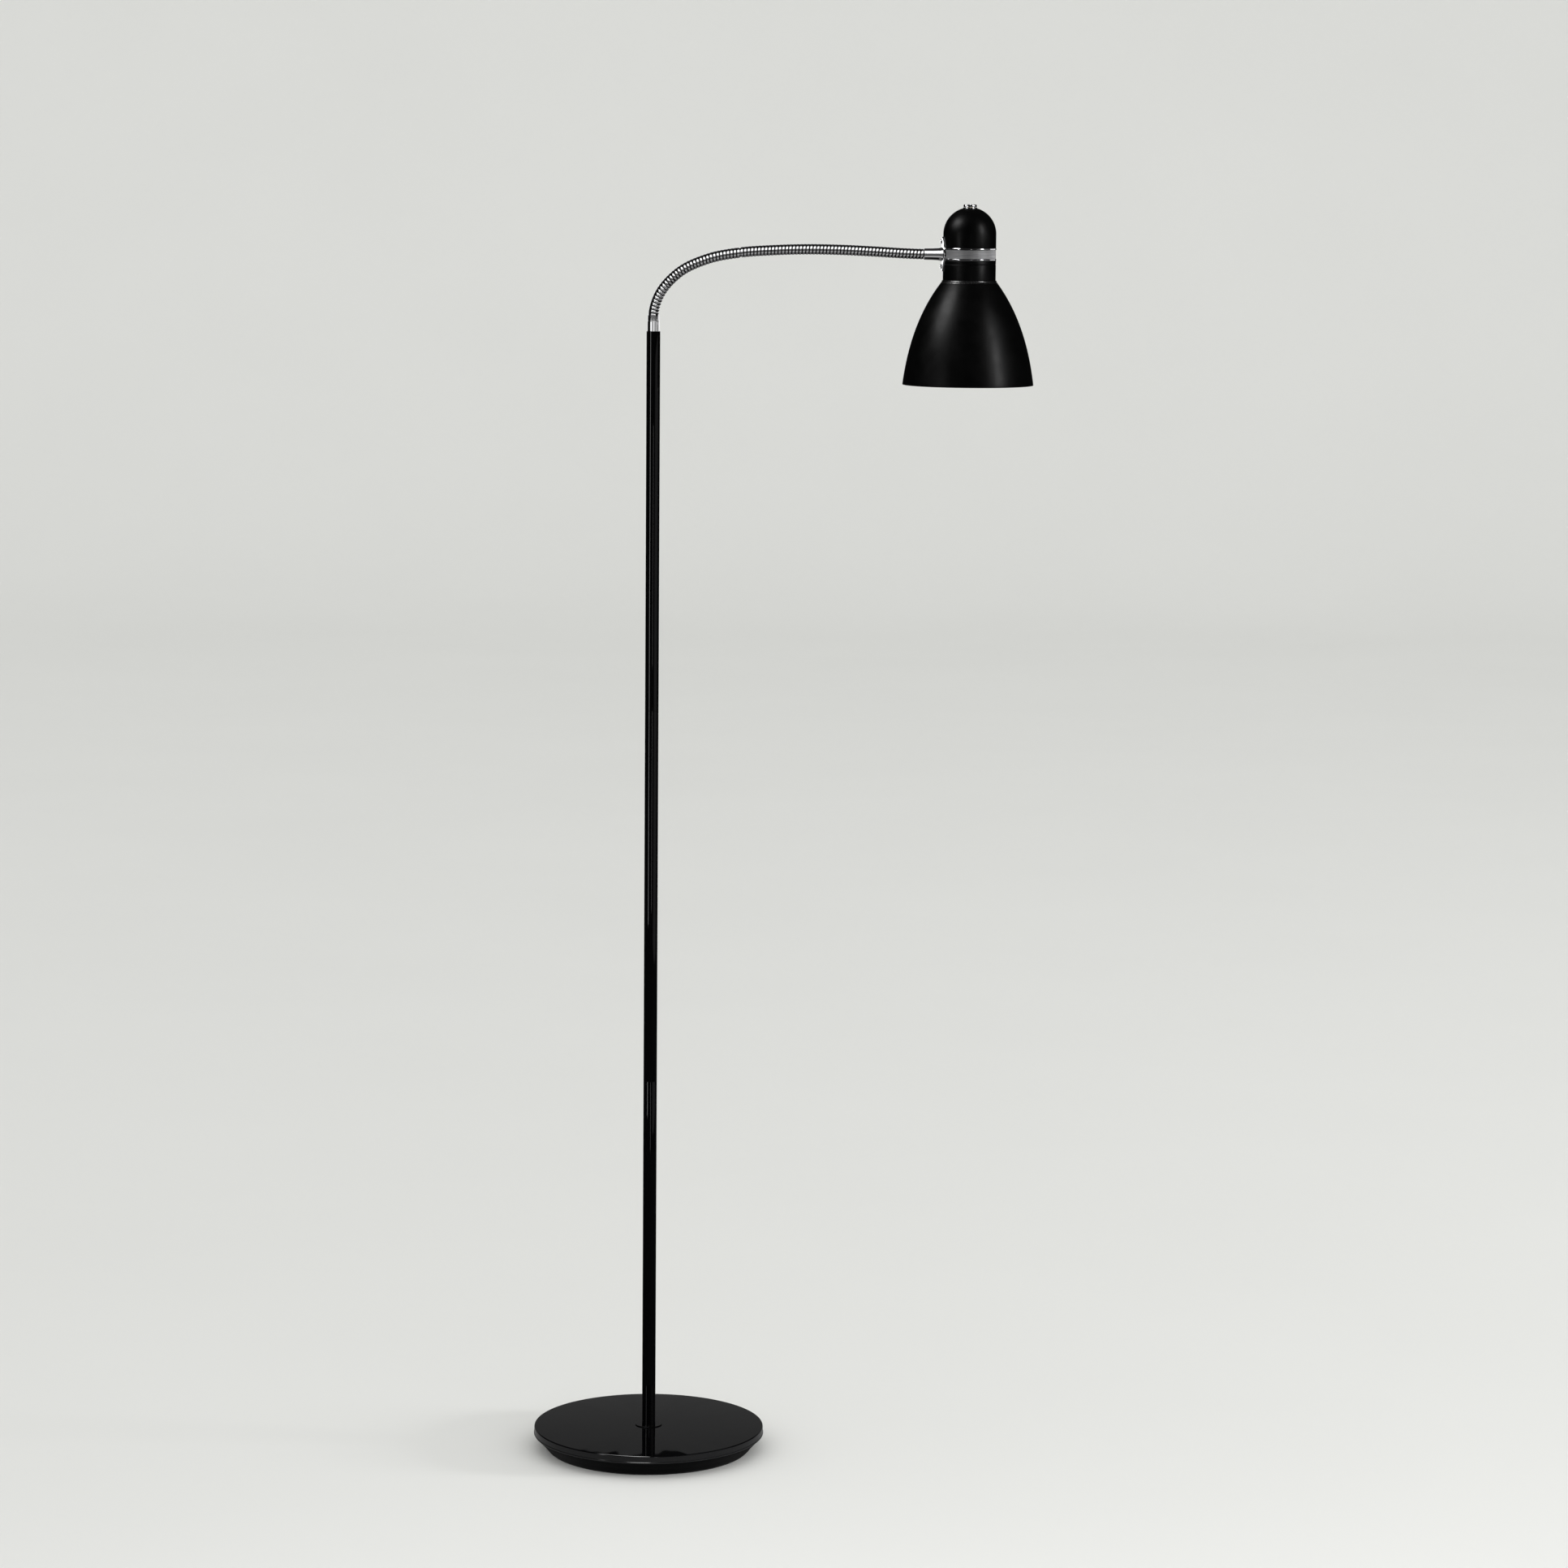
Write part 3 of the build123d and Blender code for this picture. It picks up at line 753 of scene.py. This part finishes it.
# ---- head -----------------------------------------------------------------------------------
def head_lathe(name, outline, looks, slot, node, around=AROUND, look_of=None, smooth_angle=35):
    """A turned piece of the head: outline heights in mm from the ring, radii in mm."""
    scaled = [(r * MM, z * MM) for r, z in outline]
    piece = lathe(name + "_mesh", scaled, looks, (HEAD_X, 0, RING_Z), "Z", around, look_of, smooth_angle)
    return place(piece, "head", slot, node)


def make_cap_and_neck():
    """The domed cap, the grooved neck and the chrome band between them."""
    radius, wall = HEAD_RADIUS, HEAD_WALL
    inner = radius - wall
    flat = 8.3
    switch_hole = 5
    cap_foot = 6.9
    centre = 22.0
    crown = centre + sqrt(radius**2 - flat**2)
    end = degrees(acos(flat / radius))
    inner_end = degrees(asin((crown - wall - centre) / inner))
    cap = [(radius - 0.5, cap_foot), (radius - 0.1, 7.05), (radius, 7.4)]
    cap += arc((0, centre), radius, 0, end - 1.2, 40)
    cap += [(flat - 0.1, crown), (switch_hole, crown), (switch_hole, crown - wall)]
    cap += arc((0, centre), inner, inner_end, 0, 24)
    cap += [(inner, cap_foot)]
    head_lathe("dome_cap", cap, "satin_black", "black_satin", "dome_cap")

    groove = -11.0
    neck = rounded(
        [
            (inner, -cap_foot, 0),
            (radius, -cap_foot, 0.4),
            (radius, groove + 0.45, 0.25),
            (radius - 0.35, groove, 0.15),
            (radius, groove - 0.45, 0.25),
            (radius, NECK_FOOT, 0.5),
            (inner, NECK_FOOT, 0),
        ],
        steps=4,
    )
    head_lathe("neck_sleeve", neck, "satin_black", "black_satin", "neck_sleeve")

    half = BAND_HALF / MM
    band = rounded(
        [
            (inner, -half, 0),
            (radius - 0.15, -half, 0.5),
            (radius + 0.25, -half + 0.9, 0.7),
            (radius + 0.25, -half + 1.6, 0.5),
            (radius - 0.25, -half + 2.1, 0.25),
            (radius - 0.25, half - 2.1, 0.25),
            (radius + 0.25, half - 1.6, 0.4),
            (radius + 0.25, half - 0.5, 0.25),
            (radius - 0.05, half, 0.2),
            (inner, half, 0),
        ]
    )

    def band_look(step):
        mean = (band[step][1] + band[(step + 1) % len(band)][1]) / 2
        return 1 if abs(mean) < half - 2.2 else 0

    looks = ["bead_chrome", "brushed_chrome"]
    head_lathe("ring_band", band, looks, "polished_chrome", "ring_band", 256, band_look, 40)


def make_shade():
    """The spun shade: satin black outside with a worn bead at its top, white inside, and a rolled rim."""
    top, rim = (HEAD_RADIUS, NECK_FOOT), (72.0, -142.7)
    hole = 20.3
    skin = 1.0
    steep, steep_reach = radians(38), 40
    shallow, shallow_reach = radians(7), 44

    def wall(start, end, inset):
        after = (
            top[0] + steep_reach * sin(steep) - inset * cos(steep),
            top[1] - steep_reach * cos(steep) - inset * sin(steep),
        )
        before = (
            rim[0] - shallow_reach * sin(shallow) - inset * cos(shallow),
            rim[1] + shallow_reach * cos(shallow) - inset * sin(shallow),
        )
        return bezier(start, after, before, end, 64)

    outer = wall(top, (rim[0], rim[1] + 0.5), 0)
    inner = wall((28.4, top[1] - skin), (rim[0] - skin, rim[1] + 0.5), skin)
    roll = arc((rim[0] - skin / 2, rim[1] + 0.5), skin / 2, 0, -180, 8)
    bead = arc((29.0, -29.4), 1.1, 60, -25, 10)
    below_bead = [point for point in outer if point[1] < -30.1]
    outside = [(hole, top[1]), (28.6, top[1]), *bead, *below_bead, *roll[1:-1]]
    outline = [*outside, *reversed(inner), (hole, top[1] - skin)]

    def shade_look(step):
        if 1 <= step <= len(bead) + 1:
            return 2
        return 1 if len(outside) <= step < len(outline) - 1 else 0

    looks = ["satin_black", "shade_white", "worn_edge"]
    head_lathe("shade", outline, looks, "black_satin", "shade", 256, shade_look)


def make_lampholder():
    """The bakelite lampholder with its outer thread, the toothed ring that holds the shade, and the shell."""
    body = rounded(
        [
            (5.0, -18.5, 0),
            (15.0, -18.5, 0.6),
            (20.0, -22.5, 1.0),
            (20.0, -26.5, 0.3),
            (24.0, -26.5, 0.4),
            (24.0, -28.5, 0),
            (20.0, -28.5, 0),
        ]
    )
    body += wound(19.4, 20.0, -30.0, -56.0, 2.0)[1:]
    mouth = [(20.0, -57.0, 0.3), (20.0, -66.0, 1.2), (16.5, -66.0, 0.5), (16.5, -34.0, 0)]
    body += rounded(mouth, closed=False)
    body += [(5.0, -34.0)]
    head_lathe("lampholder_body", body, "phenolic", "black_bakelite", "lampholder_body")

    teeth, outer, inner = 16, 25 * MM, 20.05 * MM
    top, foot = -29.5 * MM, -35.5 * MM
    sides = teeth * 16
    levels = [(top, 0.5), (top - 0.4 * MM, 0.0), (foot + 0.4 * MM, 0.0), (foot, 0.5)]
    verts = []
    for height, chamfer in levels:
        for k in range(sides):
            angle = 2 * pi * k / sides
            notch = max(0.0, cos(teeth * angle)) ** 0.6
            radius = outer - 0.9 * MM * notch - chamfer * MM
            verts.append((HEAD_X + radius * cos(angle), radius * sin(angle), RING_Z + height))
    for height in (foot, top):
        verts += [(HEAD_X + inner * c, inner * s, RING_Z + height) for c, s in circle(sides)]
    ring = add_mesh("shade_ring_mesh", verts, ring_faces(6, sides, closed=True), "phenolic")
    place(ring, "head", "black_bakelite", "shade_ring")

    shell = rounded([(14.2, -42.0, 0.2), (14.2, -62.0, 0.3), (13.5, -62.0, 0.2), (13.5, -42.0, 0.2)])
    head_lathe("screw_shell", shell, "brass", "brass", "screw_shell")


def make_bulb():
    """The bulb's screw cap and its round glass."""
    cap_top, cap_foot = -43.0, -67.0
    cap = [(0, cap_top), (3.6, cap_top), (4.5, cap_top - 0.6), (8.0, cap_top - 3.0), (11.6, cap_top - 4.2)]
    cap += wound(11.9, 13.2, cap_top - 5.0, cap_foot + 4.0, 3.5)
    cap += [(13.2, cap_foot + 3.0), (13.2, cap_foot), (0, cap_foot)]
    head_lathe("bulb_cap", cap, "nickel", "zinc_steel", "bulb_cap")

    ball, ball_centre, rise = 22.5, cap_foot - 31.0, 31.0
    neck = 13.0
    lean = atan2(rise, neck) - acos(ball / hypot(neck, rise))
    touch = (ball * cos(lean), ball_centre + ball * sin(lean))
    flare = bezier((neck, cap_foot), (neck, cap_foot - 4.0), (touch[0] - 1.6, touch[1] + 3.6), touch, 16)
    glass = [*flare, *arc((0, ball_centre), ball, degrees(lean), -90, 48)[1:]]
    glass[-1] = (0.0, ball_centre - ball)
    inside = arc((0, ball_centre), ball - 1, -90, degrees(lean), 32)
    inside[0] = (0.0, ball_centre - ball + 1)
    glass += [*inside, (12.0, cap_foot)]
    head_lathe("bulb_glass", glass, "opal_glass", "opal_glass", "bulb_glass")


def make_head_ferrule():
    """The flared chrome ferrule between the gooseneck and the head."""
    seat = HEAD_X - HEAD_RADIUS * MM - ARM_END_X
    ferrule = rounded(
        [
            (3.7 * MM, 0.2 * MM, 0),
            (5.9 * MM, 0.2 * MM, 0.3 * MM),
            (6.35 * MM, 0.9 * MM, 0.5 * MM),
            (6.5 * MM, 10 * MM, 8 * MM),
            (6.9 * MM, 17 * MM, 5 * MM),
            (7.8 * MM, 19.6 * MM, 1.2 * MM),
            (7.9 * MM, seat, 0),
            (3.7 * MM, seat, 0),
        ]
    )
    sleeve = lathe("head_ferrule_mesh", ferrule, "chrome", (ARM_END_X, 0, RING_Z), "X", 128)
    place(sleeve, "head", "polished_chrome", "head_ferrule")


FLANGE_SCREW_RISE = 13.5
FLANGE_THICK = 1.5
FLANGE_EDGE = 0.7


def flange_border():
    """The flange's outline seen from the arm, in mm: the hull of a large disc and one round each screw."""
    spots = []
    for centre, radius in ((0.0, 12.0), (FLANGE_SCREW_RISE, 5.4), (-FLANGE_SCREW_RISE, 5.4)):
        for turn in range(0, 360, 3):
            spots.append(Vector((radius * cos(radians(turn)), centre + radius * sin(radians(turn)))))
    border = [spots[i] for i in convex_hull_2d(spots)]
    outline = []
    for a, b in zip(border, border[1:] + border[:1]):
        parts = max(1, round((b - a).length / 0.6))
        outline += [a.lerp(b, k / parts) for k in range(parts)]
    return outline


def make_flange():
    """The chrome flange, curved to the head, with a rounded edge."""

    def on_head(spot, radius):
        return Vector((HEAD_X - sqrt(radius**2 - spot.x**2) * MM, spot.x * MM, RING_Z + spot.y * MM))

    outline = flange_border()
    count = len(outline)
    front, behind = HEAD_RADIUS + FLANGE_THICK, HEAD_RADIUS - 0.2
    shrink = [1.0, 0.985, 0.955, 0.91, 0.84, 0.7, 0.55, 0.4, 0.25, 0.1]
    verts = []
    for share in shrink:
        for spot in outline:
            inset = min(FLANGE_EDGE, (1 - share) * spot.length)
            drop = FLANGE_EDGE - sqrt(FLANGE_EDGE**2 - (FLANGE_EDGE - inset) ** 2)
            verts.append(on_head(spot * share, front - drop))
    verts += [on_head(spot, behind) for spot in outline]
    verts += [on_head(Vector((0, 0)), front), on_head(Vector((0, 0)), behind)]
    hub, back = len(verts) - 2, len(verts) - 1
    faces = ring_faces(len(shrink), count)
    inner_row, outer_back = (len(shrink) - 1) * count, len(shrink) * count
    for k in range(count):
        n = (k + 1) % count
        faces.append((inner_row + k, inner_row + n, hub))
        faces.append((k, outer_back + k, outer_back + n, n))
        faces.append((outer_back + k, back, outer_back + n))
    plate = add_mesh("mounting_flange_mesh", verts, faces, "chrome", smooth_angle=50)
    place(plate, "head", "polished_chrome", "mounting_flange")


def make_flange_screws():
    """The flange's two slotted dome heads, as one piece."""
    radius, shank, rise = 2.7 * MM, 0.5 * MM, 1.7 * MM
    seat = HEAD_X - 30.4 * MM
    heads = []
    for side, slot_turn in ((1, 70), (-1, 15)):
        dome = [(0.0, 0.0), (radius, 0.0), (radius, shank)]
        for turn in range(10, 90, 10):
            dome.append((radius * cos(radians(turn)), shank + rise * sin(radians(turn))))
        dome += [(0.0, shank + rise)]
        screw = lathe("screw_head", [(r, -h) for r, h in dome], "chrome", (0, 0, 0), "X", 48)
        slot = block("slot", (1.2 * MM, 6 * MM, 0.65 * MM), (-2.1 * MM, 0, 0))
        slot.data.transform(Matrix.Rotation(radians(slot_turn), 4, "X"))
        cut(screw, slot)
        screw.data.transform(Matrix.Translation((seat, 0, RING_Z + side * FLANGE_SCREW_RISE * MM)))
        heads.append(screw)
    work = bmesh.new()
    for screw in heads:
        work.from_mesh(screw.data)
    work.to_mesh(heads[0].data)
    work.free()
    bpy.data.objects.remove(heads[1])
    heads[0].name = "flange_screws_mesh"
    place(heads[0], "head", "polished_chrome", "flange_screws")


def make_switch():
    """The rotary switch's nut and its fluted knob."""
    nut = rounded(
        [
            (5 * MM, 0, 0),
            (7.8 * MM, 0, 0.2 * MM),
            (7.8 * MM, 0.7 * MM, 0.3 * MM),
            (7.2 * MM, 1 * MM, 0.2 * MM),
            (5 * MM, 1 * MM, 0),
        ]
    )
    washer = lathe("switch_nut_mesh", nut, "chrome", (HEAD_X, 0, CROWN_Z))
    place(washer, "head", "polished_chrome", "switch_nut")

    foot = low("switch_knob").z
    tall = high("switch_knob").z - foot
    flutes, per_flute = 10, 16
    sides = flutes * per_flute
    # share of the knob's height, radius in mm, depth of the flutes there
    rows = [
        (0.0, 6.5, 0.6),
        (0.0, 7.0, 0.9),
        (0.35, 7.3, 1.0),
        (0.55, 7.3, 1.0),
        (0.80, 7.2, 1.0),
        (0.92, 6.9, 0.9),
        (1.0, 6.3, 0.6),
        (1.0, 5.6, 0.2),
        (0.94, 5.2, 0.0),
        (0.90, 3.0, 0.0),
        (0.90, 0.6, 0.0),
    ]
    verts = []
    for share, radius, depth in rows:
        for k in range(sides):
            angle = 2 * pi * k / sides
            flute = max(0.0, -cos(flutes * angle)) ** 0.8
            reach = (radius - 1.5 * depth * flute) * MM
            verts.append((HEAD_X + reach * cos(angle), reach * sin(angle), foot + share * tall))
    verts += [(HEAD_X, 0, foot), (HEAD_X, 0, foot + 0.9 * tall)]
    under, top = len(verts) - 2, len(verts) - 1
    faces = ring_faces(len(rows), sides)
    last = (len(rows) - 1) * sides
    for k in range(sides):
        n = (k + 1) % sides
        faces.append((k, n, under))
        faces.append((last + k, last + n, top))
    knob = add_mesh("switch_knob_mesh", verts, faces, "chrome")
    place(knob, "knob", "polished_chrome", "switch_knob")


def dress_hidden_nodes():
    """Materials for the inner CAD nodes that stay as they are."""
    looks = {
        "base_nut": "zinc",
        "base_lock_washer": "zinc",
        "base_nipple": "zinc",
        "pole_foot_insert": "zinc",
        "pole_couplings": "zinc",
        "pole_top_insert": "zinc",
        "ferrule_locknut": "zinc",
        "lampholder_nipple": "zinc",
        "inner_cup": "zinc",
        "contact_block": "ceramic",
        "switch_body": "phenolic",
        "switch_spindle": "brass",
        "switch_wires": "jacket",
    }
    for name, node in frame["nodes"].items():
        look = "jacket" if name.startswith("lead_") else looks.get(name)
        if look and not node.hide_render:
            node.data.materials.clear()
            node.data.materials.append(LOOKS[look])


# ---- stage: floor, light and camera -----------------------------------------------------------
def make_stage():
    """A pale floor that sweeps up far behind the lamp."""
    depth, width, turn = 9.0, 14.0, 3.0
    rows = [(-8.0, 0.0), (-2.0, 0.0), (0.0, 0.0), (2.0, 0.0), (depth, 0.0)]
    for lean in range(6, 91, 6):
        rows.append((depth + turn * sin(radians(lean)), turn * (1 - cos(radians(lean)))))
    rows.append((depth + turn, 12.0))
    columns = [-width, -4.0, -1.0, 0.0, 1.0, 4.0, width]
    verts = [(x, y, z) for y, z in rows for x in columns]
    wide = len(columns)
    faces = [
        (r * wide + c, r * wide + c + 1, (r + 1) * wide + c + 1, (r + 1) * wide + c)
        for r in range(len(rows) - 1)
        for c in range(wide - 1)
    ]
    mat, tree, shader = new_material("pale_floor")
    patches = noise(tree, scale=1.5, detail=3)
    tint = ramp(tree, patches, [(0.3, (0.775, 0.78, 0.765)), (0.7, (0.785, 0.79, 0.775))])
    tree.links.new(tint, shader.inputs["Base Color"])
    set_shader(shader, Roughness=1.0, Specular_IOR_Level=0.0)
    mesh = bpy.data.meshes.new("floor")
    mesh.from_pydata(verts, [], faces)
    mesh.materials.append(mat)
    mesh.polygons.foreach_set("use_smooth", [True] * len(mesh.polygons))
    floor = bpy.data.objects.new("floor", mesh)
    bpy.context.scene.collection.objects.link(floor)
    floor.visible_glossy = False


def make_world():
    """Even pale light all round, with a darker room in mirror reflections."""
    world = bpy.data.worlds.new("studio")
    bpy.context.scene.world = world
    world.use_nodes = True
    tree = world.node_tree
    tree.nodes.clear()
    out = tree.nodes.new("ShaderNodeOutputWorld")
    even = tree.nodes.new("ShaderNodeBackground")
    even.inputs["Color"].default_value = (1.0, 1.0, 0.985, 1)
    even.inputs["Strength"].default_value = 0.875
    mirrored = tree.nodes.new("ShaderNodeBackground")
    place_at = tree.nodes.new("ShaderNodeTexCoord")
    split = tree.nodes.new("ShaderNodeSeparateXYZ")
    tree.links.new(place_at.outputs["Generated"], split.inputs["Vector"])
    spread = tree.nodes.new("ShaderNodeMapRange")
    spread.inputs["From Min"].default_value = -1.0
    tree.links.new(split.outputs["Z"], spread.inputs["Value"])
    dark_room = [(0.0, 0.12), (0.2, 0.12), (0.34, 0.006), (0.66, 0.006), (1.0, 0.03)]
    shade = ramp(tree, spread.outputs["Result"], dark_room)
    tree.links.new(shade, mirrored.inputs["Color"])
    path = tree.nodes.new("ShaderNodeLightPath")
    mix = tree.nodes.new("ShaderNodeMixShader")
    tree.links.new(path.outputs["Is Glossy Ray"], mix.inputs["Fac"])
    tree.links.new(even.outputs["Background"], mix.inputs[1])
    tree.links.new(mirrored.outputs["Background"], mix.inputs[2])
    tree.links.new(mix.outputs["Shader"], out.inputs["Surface"])


def receivers(name, starts, state):
    """A light-linking set of the meshes whose names start so, for a light to include or exclude."""
    group = bpy.data.collections.new(name)
    for obj in bpy.context.scene.objects:
        if obj.type == "MESH" and obj.name.startswith(tuple(starts)):
            group.objects.link(obj)
    for linked in group.collection_objects:
        linked.light_linking.link_state = state
    return group


def softbox(name, place_at, aim, width, height, radiance, receiver=None, gloss_only=True):
    """An area light aimed at a point. A gloss_only one only shows in reflections; the others never do."""
    light = bpy.data.lights.new(name, "AREA")
    light.shape = "RECTANGLE"
    light.size = width
    light.size_y = height
    light.energy = radiance * pi * width * height
    obj = bpy.data.objects.new(name, light)
    obj.location = place_at
    obj.rotation_euler = (Vector(aim) - Vector(place_at)).to_track_quat("-Z", "Y").to_euler()
    bpy.context.scene.collection.objects.link(obj)
    obj.visible_camera = False
    obj.visible_diffuse = not gloss_only
    obj.visible_glossy = gloss_only
    if receiver:
        obj.light_linking.receiver_collection = receiver


def make_lights():
    """A key light and a front strip, and softboxes that only show as reflections in the linked pieces."""
    head = Vector((HEAD_X, 0, RING_Z))
    foot = Vector((0, 0, 0.55))
    bend = Vector((0.15, 0, 1.28))
    collar = Vector((0, 0, POLE_TOP))
    arm_pieces = ["gooseneck_span", "lower_ferrule_mesh", "head_ferrule_mesh"]
    arm = receivers("arm_only", arm_pieces, "INCLUDE")
    not_arm = receivers("all_but_arm", arm_pieces, "EXCLUDE")
    arm_foot = receivers("arm_foot_only", ["gooseneck_span_1", "lower_ferrule_mesh"], "INCLUDE")
    flange_pieces = ["mounting_flange", "flange_screws"]
    head_pieces = ["dome_cap", "neck_sleeve", "ring_band", "shade", "switch_", *flange_pieces]
    lamp_head = receivers("head_only", head_pieces, "INCLUDE")
    base = receivers("base_only", ["base_cover_mesh", "foot_washer_mesh"], "INCLUDE")
    band = receivers("band_only", ["ring_band_mesh"], "INCLUDE")
    flange = receivers("flange_only", ["mounting_flange_mesh", "flange_screws_mesh"], "INCLUDE")

    softbox("key", (7.0, -0.6, 1.0), (0, 0, 0.1), 1.0, 1.0, 108, gloss_only=False)
    softbox("front_glow", (0.9, -1.4, 0.5), (0.9, -0.7, 0), 3.0, 0.3, 2.2, gloss_only=False)

    softbox("left_high", head + Vector((-1.45, -0.35, 1.35)), head, 0.9, 0.9, 10, lamp_head)
    softbox("right_tall", head + Vector((1.60, -1.15, 0.58)), head, 0.45, 1.4, 9.0, lamp_head)
    softbox("left_low", (-1.75, -1.75, 0.95), foot, 0.22, 1.7, 5.0, not_arm)
    softbox("right_low", (1.80, -0.85, 0.75), foot, 2.0, 1.3, 0.20, not_arm)
    softbox("camera_side", (0.95, -6.0, 0.40), foot, 0.22, 1.7, 3.0, not_arm)
    softbox("band_right", head + Vector((1.5, 0.9, 0)), head, 1.5, 1.0, 1.6, band)
    softbox("flange_left", head + Vector((-1.2, 1.7, -0.3)), head, 3.0, 1.4, 2.0, flange)

    softbox("arm_high", bend + Vector((0, -1.59, 1.24)), bend, 4.0, 1.97, 1.35, arm)
    softbox("arm_front", bend + Vector((0, -2.2, -0.28)), bend, 6.0, 0.9, 0.13, arm)
    softbox("arm_below", bend + Vector((0, -1.09, -1.17)), bend, 3.0, 0.7, 0.32, arm)
    softbox("arm_back", bend + Vector((0, 2.2, 0.6)), bend, 5.0, 1.9, 1.0, arm)
    softbox("foot_front", collar + Vector((0, -2.2, -0.28)), collar, 6.0, 0.7, 0.25, arm_foot)
    softbox("foot_left", collar + Vector((-1.5, -1.55, -0.28)), collar, 1.1, 0.7, 0.9, arm_foot)
    softbox("foot_middle", collar + Vector((0.32, -2.0, -0.28)), collar, 0.5, 0.7, 0.7, arm_foot)
    softbox("foot_right", collar + Vector((2.0, 0.3, -0.28)), collar, 3.0, 0.7, 0.9, arm_foot)

    softbox("base_behind", (0, 2.4, 0.42), (0, 0, 0.02), 5.0, 1.2, 0.10, base)
    softbox("base_floor", (0, 0, 0.002), (0, 0, 1.0), 2.4, 2.4, 0.22, base)
    softbox("base_overhead", (-0.3, -0.15, 2.3), (-0.05, -0.13, 0), 3.2, 0.6, 8.5, base)


def make_camera():
    """The photo's camera, as fitted to the lamp's outline."""
    place_at = (0.1475, -4.982, 1.4425)
    pitch, roll = radians(7.793), radians(0.4815)
    ahead = Vector((0, cos(pitch), -sin(pitch)))
    level_up = Vector((0, sin(pitch), cos(pitch)))
    level_right = Vector((1, 0, 0))
    right = level_right * cos(roll) + level_up * sin(roll)
    up = level_up * cos(roll) - level_right * sin(roll)
    data = bpy.data.cameras.new("camera")
    data.lens = 103.74
    data.sensor_width = 36.0
    data.clip_end = 60.0
    camera = bpy.data.objects.new("camera", data)
    turn = Matrix((right, up, -ahead)).transposed().to_4x4()
    camera.matrix_world = Matrix.Translation(place_at) @ turn
    bpy.context.scene.collection.objects.link(camera)
    bpy.context.scene.camera = camera


bpy.context.scene.view_settings.view_transform = "Standard"

make_base_cover()
make_base_weight()
make_base_fittings()
make_pole()
make_gooseneck()
make_cap_and_neck()
make_shade()
make_lampholder()
make_bulb()
make_head_ferrule()
make_flange()
make_flange_screws()
make_switch()
dress_hidden_nodes()
make_stage()
make_world()
make_lights()
make_camera()

bpy.context.view_layer.update()
